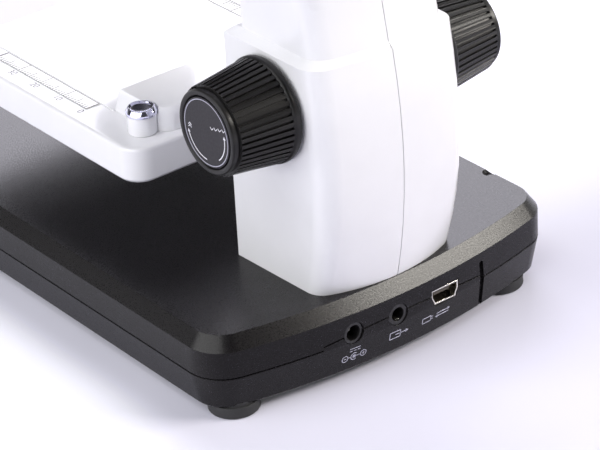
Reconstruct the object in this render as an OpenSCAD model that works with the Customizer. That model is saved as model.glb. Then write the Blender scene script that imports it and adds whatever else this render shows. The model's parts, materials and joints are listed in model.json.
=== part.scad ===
// LCD digital microscope: weighted base with rear sockets, split column with a rack-and-pinion
// stage drive, camera head with a ring light, and a screen on a friction hinge.
// Millimetres. +Z is up, the front is -Y, the origin is on the table under the middle of the box.

/* [Base] */
// Width of the base across its sides
base_w = 105.5; // [98:0.5:114]
// Length of the base at its middle
base_l = 160; // [154:1:170]
// How far each end of the base bows out
end_bow = 7.8; // [5:0.2:10]
// Corner radius of the base in plan
corner_r = 10; // [8:0.5:14]
// Height of the rubber feet below the shells
foot_h = 3; // [2:0.25:4]
// Radius of a rubber foot
foot_r = 6.3; // [5:0.1:6.6]
// Height of the seam between the two base shells
seam_z = 11.8; // [11.4:0.1:12.2]
// Height where the bevel round the deck starts
shoulder_z = 19; // [18:0.25:20]
// Height of the flat deck
deck_z = 22.5; // [22:0.25:24]
// How far the bevel leans in
bevel_in = 2.6; // [1.5:0.1:3]
// How far the lower shell tapers in to its bottom edge
tuck_in = 1.7; // [0.5:0.1:2]
// Wall of every moulded shell
wall = 2.5; // [2:0.1:2.8]
// Thickness of the steel weight in the base
weight_t = 5; // [3:0.5:6]
// Thickness of the battery pack
battery_t = 6; // [4:0.5:6.5]

/* [Column] */
// Half-width of the column block
col_hw = 21.6; // [21.2:0.2:23]
// Depth of the column block from its front to the base's back edge
col_d = 36.5; // [35:0.5:38]
// How far the column's back bulges past the base's back edge
col_overhang = 1; // [0:0.25:2]
// How far the bulge draws in again at the deck
col_draw = 3.9; // [2.5:0.1:4.5]
// How far the block's back curves away at its sides
col_bow = 2.6; // [1.5:0.1:3.5]
// Radius of the block's rear corners
col_r = 6; // [4:0.5:8]
// Height of the block above the deck
block_h = 59.4; // [58:0.2:62]
// Width of the sloped ledge round the block's top
ledge = 2.2; // [1.5:0.1:2.6]
// Lean of the neck's back, forward per unit of height
lean = 0.186; // [0.12:0.002:0.2]

/* [Head] */
// Height of the head's underside above the deck
head_h = 85.5; // [84:0.5:92]
// Half-width of the head
head_hw = 41; // [41:0.5:46]
// Height of the head shells
head_t = 20; // [19:0.5:24]
// Height of the head's top cover
cover_t = 6; // [5.5:0.25:8]
// Distance of the lens axis in front of the stage's back edge
lens_fwd = 48.5; // [46:0.5:52]
// Height of the lens tip above the stage at rest
lens_gap = 21; // [18:0.5:26]
// Radius of the lens housing at the head
housing_r = 22; // [20:0.5:23]
// Radius of the lens housing at its tip
tip_r = 13.5; // [12.5:0.25:15]

/* [Stage] */
// Half-width of the stage
stage_hw = 37.5; // [35:0.5:40]
// Length of the stage from back to front
stage_l = 84; // [80:1:90]
// Height of the stage tray
stage_t = 9.7; // [8.5:0.1:10.5]
// Height of the stage's top above the deck at rest
stage_h = 26.5; // [26:0.25:27]
// Corner radius of the stage
stage_r = 6; // [4:0.5:9]
// Free space between the stage and the column
stage_back = 18.3; // [16:0.1:20]
// How far the stage travels up, and down
travel = 12; // [10:0.5:12]
// Half-width of the raised block at the stage's back
block_hw = 27; // [24:0.1:27.4]
// Length of the raised block
block_l = 19; // [16:0.5:21]
// Height of the raised block above the stage
block_t = 6; // [4:0.25:7]
// Radius of a clip post
post_r = 3.7; // [3:0.1:4]
// Height of the white part of a clip post
post_h = 4.5; // [4:0.1:6]
// Height of a post's bright cap
cap_h = 1.85; // [1.6:0.05:3]

/* [Focus drive] */
// Height of the knob shaft above the deck
knob_h = 45.8; // [44:0.2:48]
// Distance of the knob shaft in front of the base's back edge
knob_in = 20; // [19.5:0.1:20.5]
// Radius of a knob at its flange
knob_r1 = 13.1; // [12:0.1:15]
// Radius of a knob at its face
knob_r2 = 10.3; // [9.5:0.1:12]
// Length of a knob
knob_l = 17.9; // [15:0.1:20]
// Gap between a knob and the column
knob_gap = 0.7; // [0.4:0.1:1.5]
// Number of ribs on a knob
knob_ribs = 46; // [30:1:48]
// Depth of the gaps between the ribs
rib_depth = 0.8; // [0.5:0.1:1]
// Radius of the knob shaft
shaft_r = 2.5; // [2:0.1:2.8]
// Tooth module of the rack and pinion
tooth_m = 0.8; // [0.8:0.05:0.85]
// Teeth on the pinion
teeth = 12; // [12:1:12]
// Radius of the guide rods
rod_r = 2.5; // [2:0.1:2.6]

/* [Screen] */
// Half-width of the screen lid
lid_hw = 43; // [41:0.5:46]
// Depth of the lid from the hinge axis to its free edge
lid_l = 74; // [70:0.5:80]
// Thickness of the lid
lid_t = 9; // [8:0.25:11]
// Angle of the lid from closed, as it stands
lid_open = 120; // [100:1:125]
// Width of the picture area
lcd_w = 70.4; // [64:0.2:72]
// Height of the picture area
lcd_h = 52.8; // [48:0.2:54]
// Radius of the hinge knuckles
knuckle_r = 4; // [3.5:0.1:4.2]
// Radius of the hinge pin
hinge_r = 1.5; // [1.2:0.1:2]

/* [Sockets] */
// Height of the socket axes
port_z = 13.7; // [13.5:0.1:14]
// Sideways place of the power socket
dc_x = 15.6; // [15:0.1:18]
// Sideways place of the picture socket
av_x = 2.5; // [1.5:0.1:3]
// Sideways place of the data socket
usb_x = -12.6; // [-14:0.1:-11]
// Outer radius of the round sockets
ring_r = 2.75; // [2.6:0.05:3]
// Radius of the power socket's bore
dc_bore_r = 2; // [1.8:0.05:2.1]
// Radius of the picture socket's bore, for a 3.5 mm plug
av_bore_r = 1.8; // [1.76:0.01:1.85]
// Width of the data socket's shell
usb_w = 8.4; // [7.6:0.1:8.6]
// Height of the data socket's shell
usb_h = 4.1; // [3.6:0.1:4.3]

/* [Controls] */
// Radius of a push button
button_r = 3.4; // [2.8:0.1:4]
// Distance between the push buttons
button_pitch = 11.5; // [10:0.25:11.5]
// How far a button stands proud of the cover
button_proud = 1.4; // [1.2:0.1:2]
// Travel of a button
button_travel = 0.7; // [0.5:0.1:0.9]
// Radius of the brightness wheel
wheel_r = 9; // [8:0.25:10]
// Thickness of the brightness wheel
wheel_t = 3.6; // [3:0.1:4]
// How far the brightness wheel stands out of the head's side
wheel_out = 2; // [1.5:0.1:2.5]

/* [Fits] */
// Radial clearance of a running shaft
run = 0.05; // [0.03:0.01:0.08]
// Gap between pieces that move past each other
gap = 0.4; // [0.3:0.05:0.5]
// Radial clearance of a pressed or screwed seat
seat = 0.02; // [0.01:0.01:0.04]

/* [Hidden] */
eps = 0.02;
skin = 0.2;
big = 400;
$fn = 48;

// Places along Y: the box is as long as the base and the column's overhang.
base_back = (base_l - col_overhang) / 2;
base_front = base_back - base_l;
base_mid = (base_back + base_front) / 2;
col_front = base_back - col_d;
stage_rear = col_front - stage_back;
stage_front = stage_rear - stage_l;
block_back = stage_rear - 2.7;
block_front = block_back - block_l;
lens_y = stage_rear - lens_fwd;
knob_y = base_back - knob_in;

// Heights.
floor_z = foot_h + wall;
roof_z = deck_z - wall;
block_z = deck_z + block_h;
neck_z = block_z + 1.7;
flare_z = neck_z + 11.4;
head_z = deck_z + head_h;
split_z = head_z + head_t;
top_z = split_z + cover_t;
stage_z = deck_z + stage_h;
tray_z = stage_z - stage_t;
band_z = stage_z - 0.3;
knob_z = deck_z + knob_h;
tip_z = stage_z + lens_gap;

// Base.
base_hw = base_w / 2;
foot_xs = [base_hw - 9.7, 12.7 - base_hw];
foot_in = 12.5;
seam_gap = 0.35;
groove_x = -25.2;
groove_w = 1.4;
groove_top = 16;
groove_lean = 3.5;
port_zone = [groove_x - 0.2, dc_x + 8.5];
screw_r = 1.5;
boss_r = 3.6;

// Boards.
board_t = 1.6;
board_z = 9.6;
board_top = board_z + board_t;
board_hw = 36;
sd_y = base_back - 26;
sd_w = 13;
dimple_r = 1.9;
dimple_depth = 0.9;
dimple_ball = (dimple_r * dimple_r + dimple_depth * dimple_depth) / (2 * dimple_depth);

// Column and neck.
mid_z = (deck_z + block_z) / 2 + 3;
neck_hw = col_hw - ledge;
neck_front = col_front + 4.2;
neck_back = base_back - 3;
head_back = base_back - 9;
slot_hw = 7.3;
arm_hw = slot_hw - gap;

// Rack and pinion.
pitch_r = tooth_m * teeth / 2;
tooth_pitch = PI * tooth_m;
pinion_hw = 4.5;
rack_y = knob_y - pitch_r;
rack_root = rack_y - 1.2 * tooth_m;
rack_tip = rack_y + 0.68 * tooth_m;
rack_t = 3;
rack_hw = 4;
rack_z0 = stage_z - 2.2;
rack_z1 = knob_z + travel + 3;
rod_y = rack_root - rack_t + 1.2;
slide_r = rod_r + 0.9;
carriage_hw = col_hw - wall - 5.7 - gap;
carriage_h = 22;
rod_x = carriage_hw - slide_r - 0.8;
carriage_z = stage_z - 11;
carriage_back = rod_y + rod_r + 1.6;
carriage_front = rod_y - rod_r - 1.6;
frame_hw = 18;
frame_back = knob_y + shaft_r + 5;
cheek_in = 14.2;
frame_top = block_z - 4;
bush_r = shaft_r + 1.5;

// Head.
split_hw = head_hw - 12;
hinge_y = stage_rear + 8.3;
lid_gap = 0.8;
hinge_z = top_z + lid_gap + 3.7;
knuckle_in = 16.3;
knuckle_out = 28;
button_y = hinge_y - lid_l - 7;
wheel_y = lens_y + 20;
wheel_z = head_z + head_t / 2 + 1;
wheel_x = head_hw - wheel_r + wheel_out;
flange_z = head_z + wall;
sensor_z = flange_z + 7.5;
keypad_t = 1.6;
switch_top = top_z - wall - 2.5;
keypad_z = switch_top - 2.4 - keypad_t;
lid_bottom = -(hinge_z - top_z - lid_gap);
lid_split = lid_bottom + 3.5;
lid_back = -knuckle_r - 1;
lcd_mid = (lid_back - lid_l) / 2;
cover_screws = [[head_hw - 12, button_y + 10.5], [head_hw - 14, hinge_y - 11]];
cable_y = frame_back + 3;
cable_x = [usb_x + usb_w / 2 + 1, av_x - 4.6];

// ---- Outlines and helpers ----

// Points on an arc about c, from angle a0 to a1 in n steps.
function arc(c, r, a0, a1, n = 8) =
    [for (i = [0:n]) let (a = a0 + (a1 - a0) * i / n) c + r * [cos(a), sin(a)]];

// One bowed end with its two rounded corners, opened towards -Y. tip is the middle of the end.
function bowed_end(hw, tip, bow, r, inset) =
    let (
        big_r = (hw * hw + bow * bow) / (2 * bow),
        cy = tip - big_r,
        cx = hw - r,
        corner_y = cy + sqrt(pow(big_r - r, 2) - cx * cx),
        a = atan2(corner_y - cy, cx)
    )
    concat(
        arc([cx, corner_y], r - inset, 0, a, 7),
        arc([0, cy], big_r - inset, a, 180 - a, 14),
        arc([-cx, corner_y], r - inset, 180 - a, 180, 7)
    );

function turned(points, mid) = [for (p = points) [-p.x, 2 * mid - p.y]];

// The base in plan, drawn in by inset.
function base_outline(inset = 0) =
    let (back = bowed_end(base_hw, base_back, end_bow, corner_r, inset))
    concat(back, turned(back, base_mid));

// How far forward of base_back the bowed back wall of the base lies at x.
function wall_y(x) = let (r = (base_hw * base_hw + end_bow * end_bow) / (2 * end_bow))
    base_back - r + sqrt(r * r - x * x);

// The column block in plan, with its back face at y = back and a square front. Towards the deck
// (foot = 1) the back bows more and the sides draw in.
function block_outline(hw, front, back, inset = 0, foot = 0) =
    let (end = bowed_end(hw - 0.8 * foot, back, col_bow + 2.4 * foot, col_r - 0.8 * foot, inset))
    concat(end, [[inset - hw, front + inset], [hw - inset, front + inset]]);

// A rectangle with rounded corners, centred on x = 0.
function round_rect(hw, front, back, r, n = 6) =
    concat(
        arc([hw - r, back - r], r, 0, 90, n),
        arc([r - hw, back - r], r, 90, 180, n),
        arc([r - hw, front + r], r, 180, 270, n),
        arc([hw - r, front + r], r, 270, 360, n)
    );

// The head in plan: a broad rounded nose that tapers to the neck.
function head_outline(inset = 0) =
    let (
        nose_r = head_hw - 2 * button_pitch + 2, tail_r = 9, tail_hw = neck_hw, nose_y = lens_y - 34 + nose_r,
        wide_y = lens_y + 30, side_r = 16,
        side = [head_hw - side_r, wide_y], tail = [tail_hw - tail_r, head_back - tail_r],
        span = tail - side,
        a = atan2(span.y, span.x) - acos((side_r - tail_r) / norm(span))
    )
    let (
        right = concat(
            arc([head_hw - nose_r, nose_y], nose_r - inset, -90, 0, 10),
            arc(side, side_r - inset, 0, a, 4),
            arc(tail, tail_r - inset, a, 90, 7)
        )
    )
    concat(right, [for (i = [len(right) - 1:-1:0]) [-right[i].x, right[i].y]]);

// A thin slice of an outline whose top is at z. Hulls of slices make the rounded shells.
module slice(z, points) translate([0, 0, z - skin]) linear_extrude(skin) polygon(points);

// A plate between two heights.
module plate(z0, z1, points) translate([0, 0, z0]) linear_extrude(z1 - z0) polygon(points);

// A box from its lowest corner to its highest.
module span_box(lo, hi) translate(lo) cube(hi - lo);

// A round bar along X, Y or Z between two places.
module bar_x(x0, x1, y, z, r) translate([x0, y, z]) rotate([0, 90, 0]) cylinder(h = x1 - x0, r = r);
module bar_y(y0, y1, x, z, r) translate([x, y0, z]) rotate([-90, 0, 0]) cylinder(h = y1 - y0, r = r);
module bar_z(z0, z1, x, y, r) translate([x, y, z0]) cylinder(h = z1 - z0, r = r);

// Copies on the four combinations of +x and -x with two places along Y.
module at_corners(x, ys) for (sx = [-1, 1], y = ys) translate([sx * x, y, 0]) children();

module half(side) translate([side > 0 ? 0 : -big, -big / 2, 0]) cube([big, big, big]);

// ---- Base ----

base_screw_x = base_hw - 9;
base_screw_ys = [base_front + 34, base_back - 42];
foot_ys = [base_front + foot_in, base_back - foot_in];
column_screw_x = col_hw - wall - 2.3;
column_screw_ys = [col_front + 5.5, base_back - 13];
frame_screw_x = 9;
frame_screw_ys = [rod_y + 6, frame_back - 2.6];
board_screw_x = board_hw - 4;
board_screw_ys = [base_back - 66, base_back - 16];

// The openings for the sockets, cut through the back wall of both shells.
module port_cuts() {
    bar_y(base_back - 8, base_back + 2, dc_x, port_z, ring_r + 0.1);
    bar_y(base_back - 8, base_back + 2, av_x, port_z, ring_r + 0.1);
    translate([usb_x, base_back + 2, board_top]) rotate([90, 0, 0])
        linear_extrude(10) polygon(usb_outline(0.25));
}

// Round the sockets the seam rises and runs in a shallow bow through their middles.
function seam_line(x) = port_z + 0.45 - 0.0024 * x * x;

// The band of the back wall behind the sockets, from z0 to a height above the bowed seam line.
module port_band(z0, up) translate([0, base_back + 5, 0]) rotate([90, 0, 0])
    linear_extrude(wall + 8) polygon(concat(
        [for (i = [0:12]) let (x = port_zone[0] + (port_zone[1] - port_zone[0]) * i / 12)
            [x, seam_line(x) + up]],
        [[port_zone[1], z0], [port_zone[0], z0]]
    ));

// A shallow ring round the base's outside between two heights.
module seam_ring(z0, z1) translate([0, 0, z0]) linear_extrude(z1 - z0) difference() {
    polygon(base_outline(-2));
    polygon(base_outline(seam_gap));
}

// The groove beside the data socket, cut parallel to the wall and leaning a little.
module back_groove() translate([groove_x, 0, groove_top]) rotate([0, groove_lean, 0]) {
    y = wall_y(groove_x) - 0.9;
    rotate([90, 0, 90]) translate([0, 0, -groove_w / 2]) linear_extrude(groove_w) polygon([
        [y, 0], [y, seam_z - groove_top], [y - 1.2 * tuck_in, foot_h - groove_top - 1.8],
        [base_back + 5, foot_h - groove_top - 1.8], [base_back + 5, 0]
    ]);
    translate([0, y, 0]) rotate([-90, 0, 0]) cylinder(h = 6, r = groove_w / 2);
}

module base_top_shell() color([0.13, 0.125, 0.13]) difference() {
    union() {
        difference() {
            hull() {
                slice(seam_z + skin, base_outline());
                slice(shoulder_z, base_outline());
                slice(deck_z, base_outline(bevel_in));
            }
            plate(seam_z - 1, roof_z, base_outline(wall));
            port_band(seam_z - 1, 0);
            seam_ring(seam_z - eps, seam_z + seam_gap);
            intersection() {
                seam_ring(seam_z - eps, port_z + 2);
                port_band(seam_z - 1, seam_gap);
            }
        }
        at_corners(base_screw_x, base_screw_ys) bar_z(seam_z, roof_z, 0, 0, boss_r);
    }
    at_corners(base_screw_x, base_screw_ys) bar_z(seam_z - 1, roof_z - 1, 0, 0, screw_r + seat);
    at_corners(column_screw_x, column_screw_ys) bar_z(roof_z - 1, deck_z + 1, 0, 0, screw_r + 0.2);
    at_corners(frame_screw_x, frame_screw_ys) bar_z(roof_z - 1, deck_z + 1, 0, 0, screw_r + 0.2);
    span_box([cable_x[0] - 0.8, cable_y - 2, roof_z - 1], [cable_x[1] + 0.8, cable_y + 2, deck_z + 1]);
    port_cuts();
    back_groove();
    // Card slot in the left side, with a round thumb dimple in the edge of the deck above it.
    span_box([-base_hw - 1, sd_y - sd_w / 2 + 0.7, board_top + 1.3],
             [-base_hw + wall + 1, sd_y + sd_w / 2 - 0.7, board_top + 2.9]);
    translate([-base_hw + bevel_in + 0.3, sd_y, deck_z + dimple_ball - dimple_depth])
        sphere(r = dimple_ball, $fn = 64);
}

module base_bottom_shell() color([0.13, 0.125, 0.13]) difference() {
    union() {
        difference() {
            hull() {
                slice(foot_h + skin, base_outline(tuck_in + 0.5));
                slice(foot_h + 0.8, base_outline(tuck_in * 0.94));
                slice(seam_z, base_outline());
            }
            plate(floor_z, board_z, base_outline(wall + tuck_in));
            plate(board_z - eps, seam_z + 1, base_outline(wall + 0.7));
        }
        intersection() {
            port_band(seam_z - 1, -eps);
            difference() {
                plate(seam_z - eps, port_z + 1, base_outline());
                plate(seam_z - 1, port_z + 2, base_outline(wall));
            }
        }
        at_corners(base_screw_x, base_screw_ys) bar_z(floor_z - eps, seam_z, 0, 0, boss_r);
        at_corners(board_screw_x, board_screw_ys) bar_z(floor_z - eps, board_z, 0, 0, 3);
    }
    at_corners(base_screw_x, base_screw_ys) {
        bar_z(foot_h - 1, seam_z + 1, 0, 0, screw_r + 0.2);
        bar_z(foot_h - 1, foot_h + 3.5, 0, 0, 3.1);
    }
    at_corners(board_screw_x, board_screw_ys) bar_z(floor_z, board_z + 1, 0, 0, 1 + seat);
    at_feet() bar_z(foot_h - 1, foot_h + 1, 0, 0, foot_r - 0.6);
    port_cuts();
    back_groove();
}

module base_weight() color([0.55, 0.56, 0.58]) difference() {
    plate(floor_z, floor_z + weight_t,
          round_rect(base_hw - 16, base_front + 22, base_back - 76, 4));
    at_corners(base_hw - 24, [base_front + 30, base_back - 84])
        bar_z(floor_z - 1, floor_z + weight_t + 1, 0, 0, 2);
}

module at_feet() for (x = foot_xs, y = foot_ys) translate([x, y, 0]) children();

module rubber_feet() color([0.09, 0.09, 0.09]) at_feet()
    rotate_extrude() polygon(concat(
        [[0, 0], [foot_r - 0.5, 0]],
        arc([foot_r - 0.5, 0.5], 0.5, -90, 0, 3),
        [[foot_r, foot_h], [foot_r - 0.6 - seat, foot_h], [foot_r - 0.6 - seat, foot_h + 1],
         [0, foot_h + 1]]
    ));

// A pan-head screw from its head's underside at z = 0, with its shank along +Z.
module screw(r, head_r, head_h, shank) {
    translate([0, 0, -head_h]) difference() {
        cylinder(h = head_h, r = head_r);
        for (a = [0, 90]) rotate([0, 0, a]) translate([-head_r * 0.55, -0.25, -1])
            cube([head_r * 1.1, 0.5, 1.6]);
    }
    translate([0, 0, -eps]) cylinder(h = shank, r = r);
}

module base_screws() color([0.6, 0.6, 0.62]) at_corners(base_screw_x, base_screw_ys)
    translate([0, 0, foot_h + 3.5]) screw(screw_r, 2.8, 1.8, roof_z - foot_h - 6);

module battery_pack() color([0.2, 0.3, 0.6])
    plate(floor_z + weight_t, floor_z + weight_t + battery_t,
          round_rect(25, base_front + 28, base_back - 82, 3));

module main_board() color([0.08, 0.35, 0.2]) difference() {
    plate(board_z, board_top, [
        [board_hw, base_back - 70], [board_hw, base_back - 7], [-board_hw, base_back - 7],
        [-board_hw, sd_y + sd_w / 2], [-base_hw + wall + 3.5, sd_y + sd_w / 2],
        [-base_hw + wall + 3.5, sd_y - sd_w / 2], [-board_hw, sd_y - sd_w / 2],
        [-board_hw, base_back - 70]
    ]);
    at_corners(board_screw_x, board_screw_ys) bar_z(board_z - 1, board_top + 1, 0, 0, 1.2);
}

module board_screws() color([0.7, 0.7, 0.72]) at_corners(board_screw_x, board_screw_ys)
    translate([0, 0, board_top]) rotate([180, 0, 0]) screw(1, 2, 1.2, board_top - floor_z - 1);

// ---- Sockets ----

// The data socket's mouth: a trapezoid with cut lower corners, from its lower edge up.
function usb_outline(grow) = let (w = usb_w / 2 + grow, b = usb_w / 2 - 0.8 + grow, h = usb_h)
    [[-b, -grow], [b, -grow], [b + 0.1, 0.8], [w, 2.2], [w, h + grow], [-w, h + grow],
     [-w, 2.2], [-b - 0.1, 0.8]];

module usb_socket() color([0.8, 0.8, 0.82])
    translate([usb_x, wall_y(usb_x) - 0.3, board_top]) rotate([90, 0, 0]) difference() {
        linear_extrude(9) polygon(usb_outline(0));
        translate([0, 0, -1]) linear_extrude(9) polygon(usb_outline(-0.4));
    }

module usb_contact_block() color([0.1, 0.1, 0.1])
    span_box([usb_x - 2.5, wall_y(usb_x) - 8.3, board_top + usb_h / 2 - 0.2],
             [usb_x + 2.5, wall_y(usb_x) - 1.6, board_top + usb_h / 2 + 0.7]);

// A round panel socket on the board: a square body with a round nose in the back wall.
module round_socket(x, bore_r) difference() {
    union() {
        span_box([x - 3.6, base_back - 13.5, board_top],
                 [x + 3.6, base_back - wall - 2.4, port_z + 2.9]);
        bar_y(base_back - wall - 2.5, wall_y(x) - 0.3, x, port_z, ring_r);
    }
    bar_y(base_back - 12, base_back + 1, x, port_z, bore_r);
}

module av_jack() color([0.07, 0.07, 0.07]) round_socket(av_x, av_bore_r);
module dc_jack() color([0.07, 0.07, 0.07]) round_socket(dc_x, dc_bore_r);
module dc_centre_pin() color([0.75, 0.75, 0.77])
    bar_y(base_back - 12, base_back - 3, dc_x, port_z, 0.65);

module card_socket() color([0.75, 0.75, 0.77]) difference() {
    span_box([-base_hw + wall + 0.9, sd_y - sd_w / 2, board_top],
             [-base_hw + wall + 14, sd_y + sd_w / 2, board_top + 3.6]);
    span_box([-base_hw, sd_y - sd_w / 2 + 0.9, board_top + 1.5],
             [-base_hw + wall + 13, sd_y + sd_w / 2 - 0.9, board_top + 2.7]);
}

// ---- Column ----

// The back of the block stands out most at mid_z and draws in towards the deck and the ledge.
function bulge(z) = base_back + col_overhang - col_draw * pow((z - mid_z) / (mid_z - deck_z), 2);

module block_solid() hull() {
    for (i = [0:8]) let (z = deck_z + skin + (block_h - skin) * i / 8,
                         foot = pow(max(0, mid_z - z) / (mid_z - deck_z), 2))
        slice(z, block_outline(col_hw, col_front, bulge(z), 0, foot));
    slice(neck_z, block_outline(neck_hw, col_front + 2.2, neck_back, 0));
}

module neck_solid() hull() {
    slice(neck_z + skin, block_outline(neck_hw, neck_front, neck_back));
    slice(flare_z, block_outline(neck_hw, neck_front, neck_back - lean * (flare_z - neck_z)));
}

module flare_solid() hull() {
    slice(flare_z + skin, block_outline(neck_hw, neck_front, neck_back - lean * (flare_z - neck_z)));
    slice(head_z + 8, block_outline(neck_hw + 4, neck_front - 14, head_back));
}

module head_solid() {
    hull() {
        slice(head_z + skin, head_outline(6));
        slice(head_z + 1.6, head_outline(3));
        slice(head_z + 4.4, head_outline(0.9));
        slice(head_z + 8, head_outline());
    }
    plate(head_z + 8 - eps, split_z, head_outline());
}

// The hollow of the column, the neck and the head.
module column_hollow() {
    plate(deck_z - 1, block_z - 1,
          block_outline(col_hw, col_front, base_back - 3, wall, 0.5));
    plate(block_z - 2, neck_z + 1,
          block_outline(neck_hw, neck_front, neck_back - 3, wall));
    plate(neck_z, head_z + 4, block_outline(neck_hw, neck_front, head_back - 1, wall));
    plate(head_z + wall, split_z + 1, head_outline(wall + 1.5));
}

module column_shell(side) color([0.95, 0.95, 0.96]) difference() {
    union() {
        difference() {
            intersection() {
                union() {
                    block_solid();
                    neck_solid();
                    flare_solid();
                    head_solid();
                }
                half(side);
            }
            column_hollow();
        }
        // Bosses for the screws from the deck and for the top cover.
        for (y = column_screw_ys) translate([side * column_screw_x, y, 0])
            bar_z(deck_z, deck_z + 12, 0, 0, 3.4);
        for (p = cover_screws) bar_z(flange_z - eps, split_z, side * p.x, p.y, 4.2);
    }
    for (y = column_screw_ys) bar_z(deck_z - 1, deck_z + 10, side * column_screw_x, y, screw_r + seat);
    for (p = cover_screws) {
        bar_z(head_z - 1, split_z - 5, side * p.x, p.y, 3.1);
        bar_z(split_z - 6, split_z + 1, side * p.x, p.y, screw_r + 0.2);
    }
    // Slot for the stage's arm, shaft hole, lens opening and wheel slot.
    span_box([-slot_hw, col_front - 1, tray_z - travel],
             [slot_hw, col_front + wall + 1, stage_z + block_t + travel + gap]);
    bar_x(-col_hw - 1, col_hw + 1, knob_y, knob_z, shaft_r + 0.7);
    bar_z(head_z - 1, head_z + wall + 1, 0, lens_y, housing_r + 0.2);
    bar_z(wheel_z - wheel_t / 2 - gap, wheel_z + wheel_t / 2 + gap, wheel_x, wheel_y, wheel_r + gap);
}

module column_right_shell() column_shell(1);
module column_left_shell() column_shell(-1);

// Screws from under the deck into the column shells and the cast frame.
module column_screws() color([0.6, 0.6, 0.62]) {
    at_corners(column_screw_x, column_screw_ys) translate([0, 0, roof_z]) screw(screw_r, 2.8, 1.8, 11);
    at_corners(frame_screw_x, frame_screw_ys)
        translate([0, 0, roof_z]) screw(screw_r, 2.8, 1.8, wall + 2.8);
}

// Cast frame that carries the rods and the knob shaft.
module mechanism_frame() color([0.62, 0.63, 0.65]) difference() {
    union() {
        span_box([-frame_hw, frame_back - 4, deck_z], [frame_hw, frame_back, frame_top]);
        for (z = [deck_z, frame_top - 3])
            span_box([-13.2, rod_y - 4.4, z], [13.2, frame_back, z + 3]);
        for (side = [-1, 1]) hull() {
            bar_x(side > 0 ? cheek_in : -frame_hw, side > 0 ? frame_hw : -cheek_in,
                  knob_y, knob_z, bush_r + 1.6);
            span_box([side > 0 ? cheek_in : -frame_hw, frame_back - 4, knob_z - 9],
                     [side > 0 ? frame_hw : -cheek_in, frame_back - 3, knob_z + 9]);
        }
    }
    bar_x(-frame_hw - 1, frame_hw + 1, knob_y, knob_z, bush_r + seat);
    // Window that clears the pinion.
    span_box([-pinion_hw - 1, frame_back - 5, knob_z - pitch_r - 3],
             [pinion_hw + 1, frame_back + 1, knob_z + pitch_r + 3]);
    for (side = [-1, 1]) bar_z(deck_z - 1, frame_top + 1, side * rod_x, rod_y, rod_r + seat);
    span_box([-rack_hw - 0.6, rod_y - 5, frame_top - 4], [rack_hw + 0.6, rack_tip + 1, frame_top + 1]);
    at_corners(frame_screw_x, frame_screw_ys) bar_z(deck_z - 1, deck_z + 9, 0, 0, screw_r + seat);
    at_corners(column_screw_x, column_screw_ys) bar_z(deck_z - 1, deck_z + 13, 0, 0, 3.6);
}

module guide_rods() color([0.8, 0.8, 0.82])
    for (side = [-1, 1]) bar_z(deck_z, frame_top, side * rod_x, rod_y, rod_r);

module shaft_bushes() color([0.8, 0.65, 0.3]) for (x = [cheek_in, -frame_hw]) difference() {
    bar_x(x, x + frame_hw - cheek_in, knob_y, knob_z, bush_r);
    bar_x(x - 1, x + frame_hw, knob_y, knob_z, shaft_r + run);
}

// Flat cable from the main board up the back of the column to the head, with one jog forward.
module ribbon_cable() color([0.85, 0.85, 0.87]) {
    jog_z = frame_top + 1;
    top_y = frame_back - 3;
    x0 = cable_x[0];
    x1 = cable_x[1];
    span_box([x0, cable_y - 0.4, board_top], [x1, cable_y + 0.4, jog_z + 0.8]);
    span_box([x0, top_y - 0.4, jog_z], [x1, cable_y + 0.4, jog_z + 0.8]);
    span_box([x0, top_y - 0.4, jog_z], [x1, top_y + 0.4, keypad_z + 0.8]);
    span_box([x0, button_y + 6, keypad_z], [x1, top_y + 0.4, keypad_z + 0.8]);
}

// ---- Head ----

module head_top_cover() color([0.95, 0.95, 0.96]) difference() {
    union() {
        difference() {
            hull() {
                slice(split_z + skin, head_outline());
                slice(top_z - 3.2, head_outline(0.3));
                slice(top_z - 1.2, head_outline(1.4));
                slice(top_z, head_outline(3.6));
            }
            plate(split_z - 1, top_z - wall, head_outline(wall + 1.5));
        }
        for (p = cover_screws, side = [-1, 1])
            bar_z(split_z, top_z - wall + eps, side * p.x, p.y, 4.2);
        for (side = [-1, 1]) {
            bar_z(keypad_z + keypad_t, top_z - wall + eps, side * 1.5 * button_pitch, button_y + 4.3, 1.4);
            translate([side > 0 ? knuckle_in : -knuckle_out, 0, 0]) {
                bar_x(0, knuckle_out - knuckle_in, hinge_y, hinge_z, knuckle_r);
                span_box([0, hinge_y - knuckle_r, top_z - eps],
                         [knuckle_out - knuckle_in, hinge_y + knuckle_r, hinge_z]);
            }
        }
    }
    for (p = cover_screws, side = [-1, 1])
        bar_z(split_z - 1, split_z + 4, side * p.x, p.y, screw_r + seat);
    for (i = [-2:2]) bar_z(top_z - wall - 1, top_z + 1, i * button_pitch, button_y, button_r + gap);
    bar_x(-knuckle_out - 1, knuckle_out + 1, hinge_y, hinge_z, hinge_r + seat);
}

module cover_screws() color([0.6, 0.6, 0.62]) for (p = cover_screws, side = [-1, 1])
    translate([side * p.x, p.y, split_z - 5]) screw(screw_r, 2.8, 1.8, 8.5);

module lens_housing() color([0.1, 0.1, 0.11]) translate([0, lens_y, 0]) rotate_extrude($fn = 96)
    polygon([
        [housing_r + 3, flange_z], [housing_r + 3, flange_z + 2], [housing_r - 2, flange_z + 2],
        [housing_r - 2, head_z - 12], [tip_r - 1.6, tip_z + 12], [tip_r - 1.6, tip_z],
        [tip_r - 0.5, tip_z], [tip_r, tip_z + 0.5], [tip_r + 0.4, tip_z + 9],
        [housing_r - 1, head_z - 14], [housing_r, head_z - 12.5], [housing_r, flange_z]
    ]);

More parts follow.
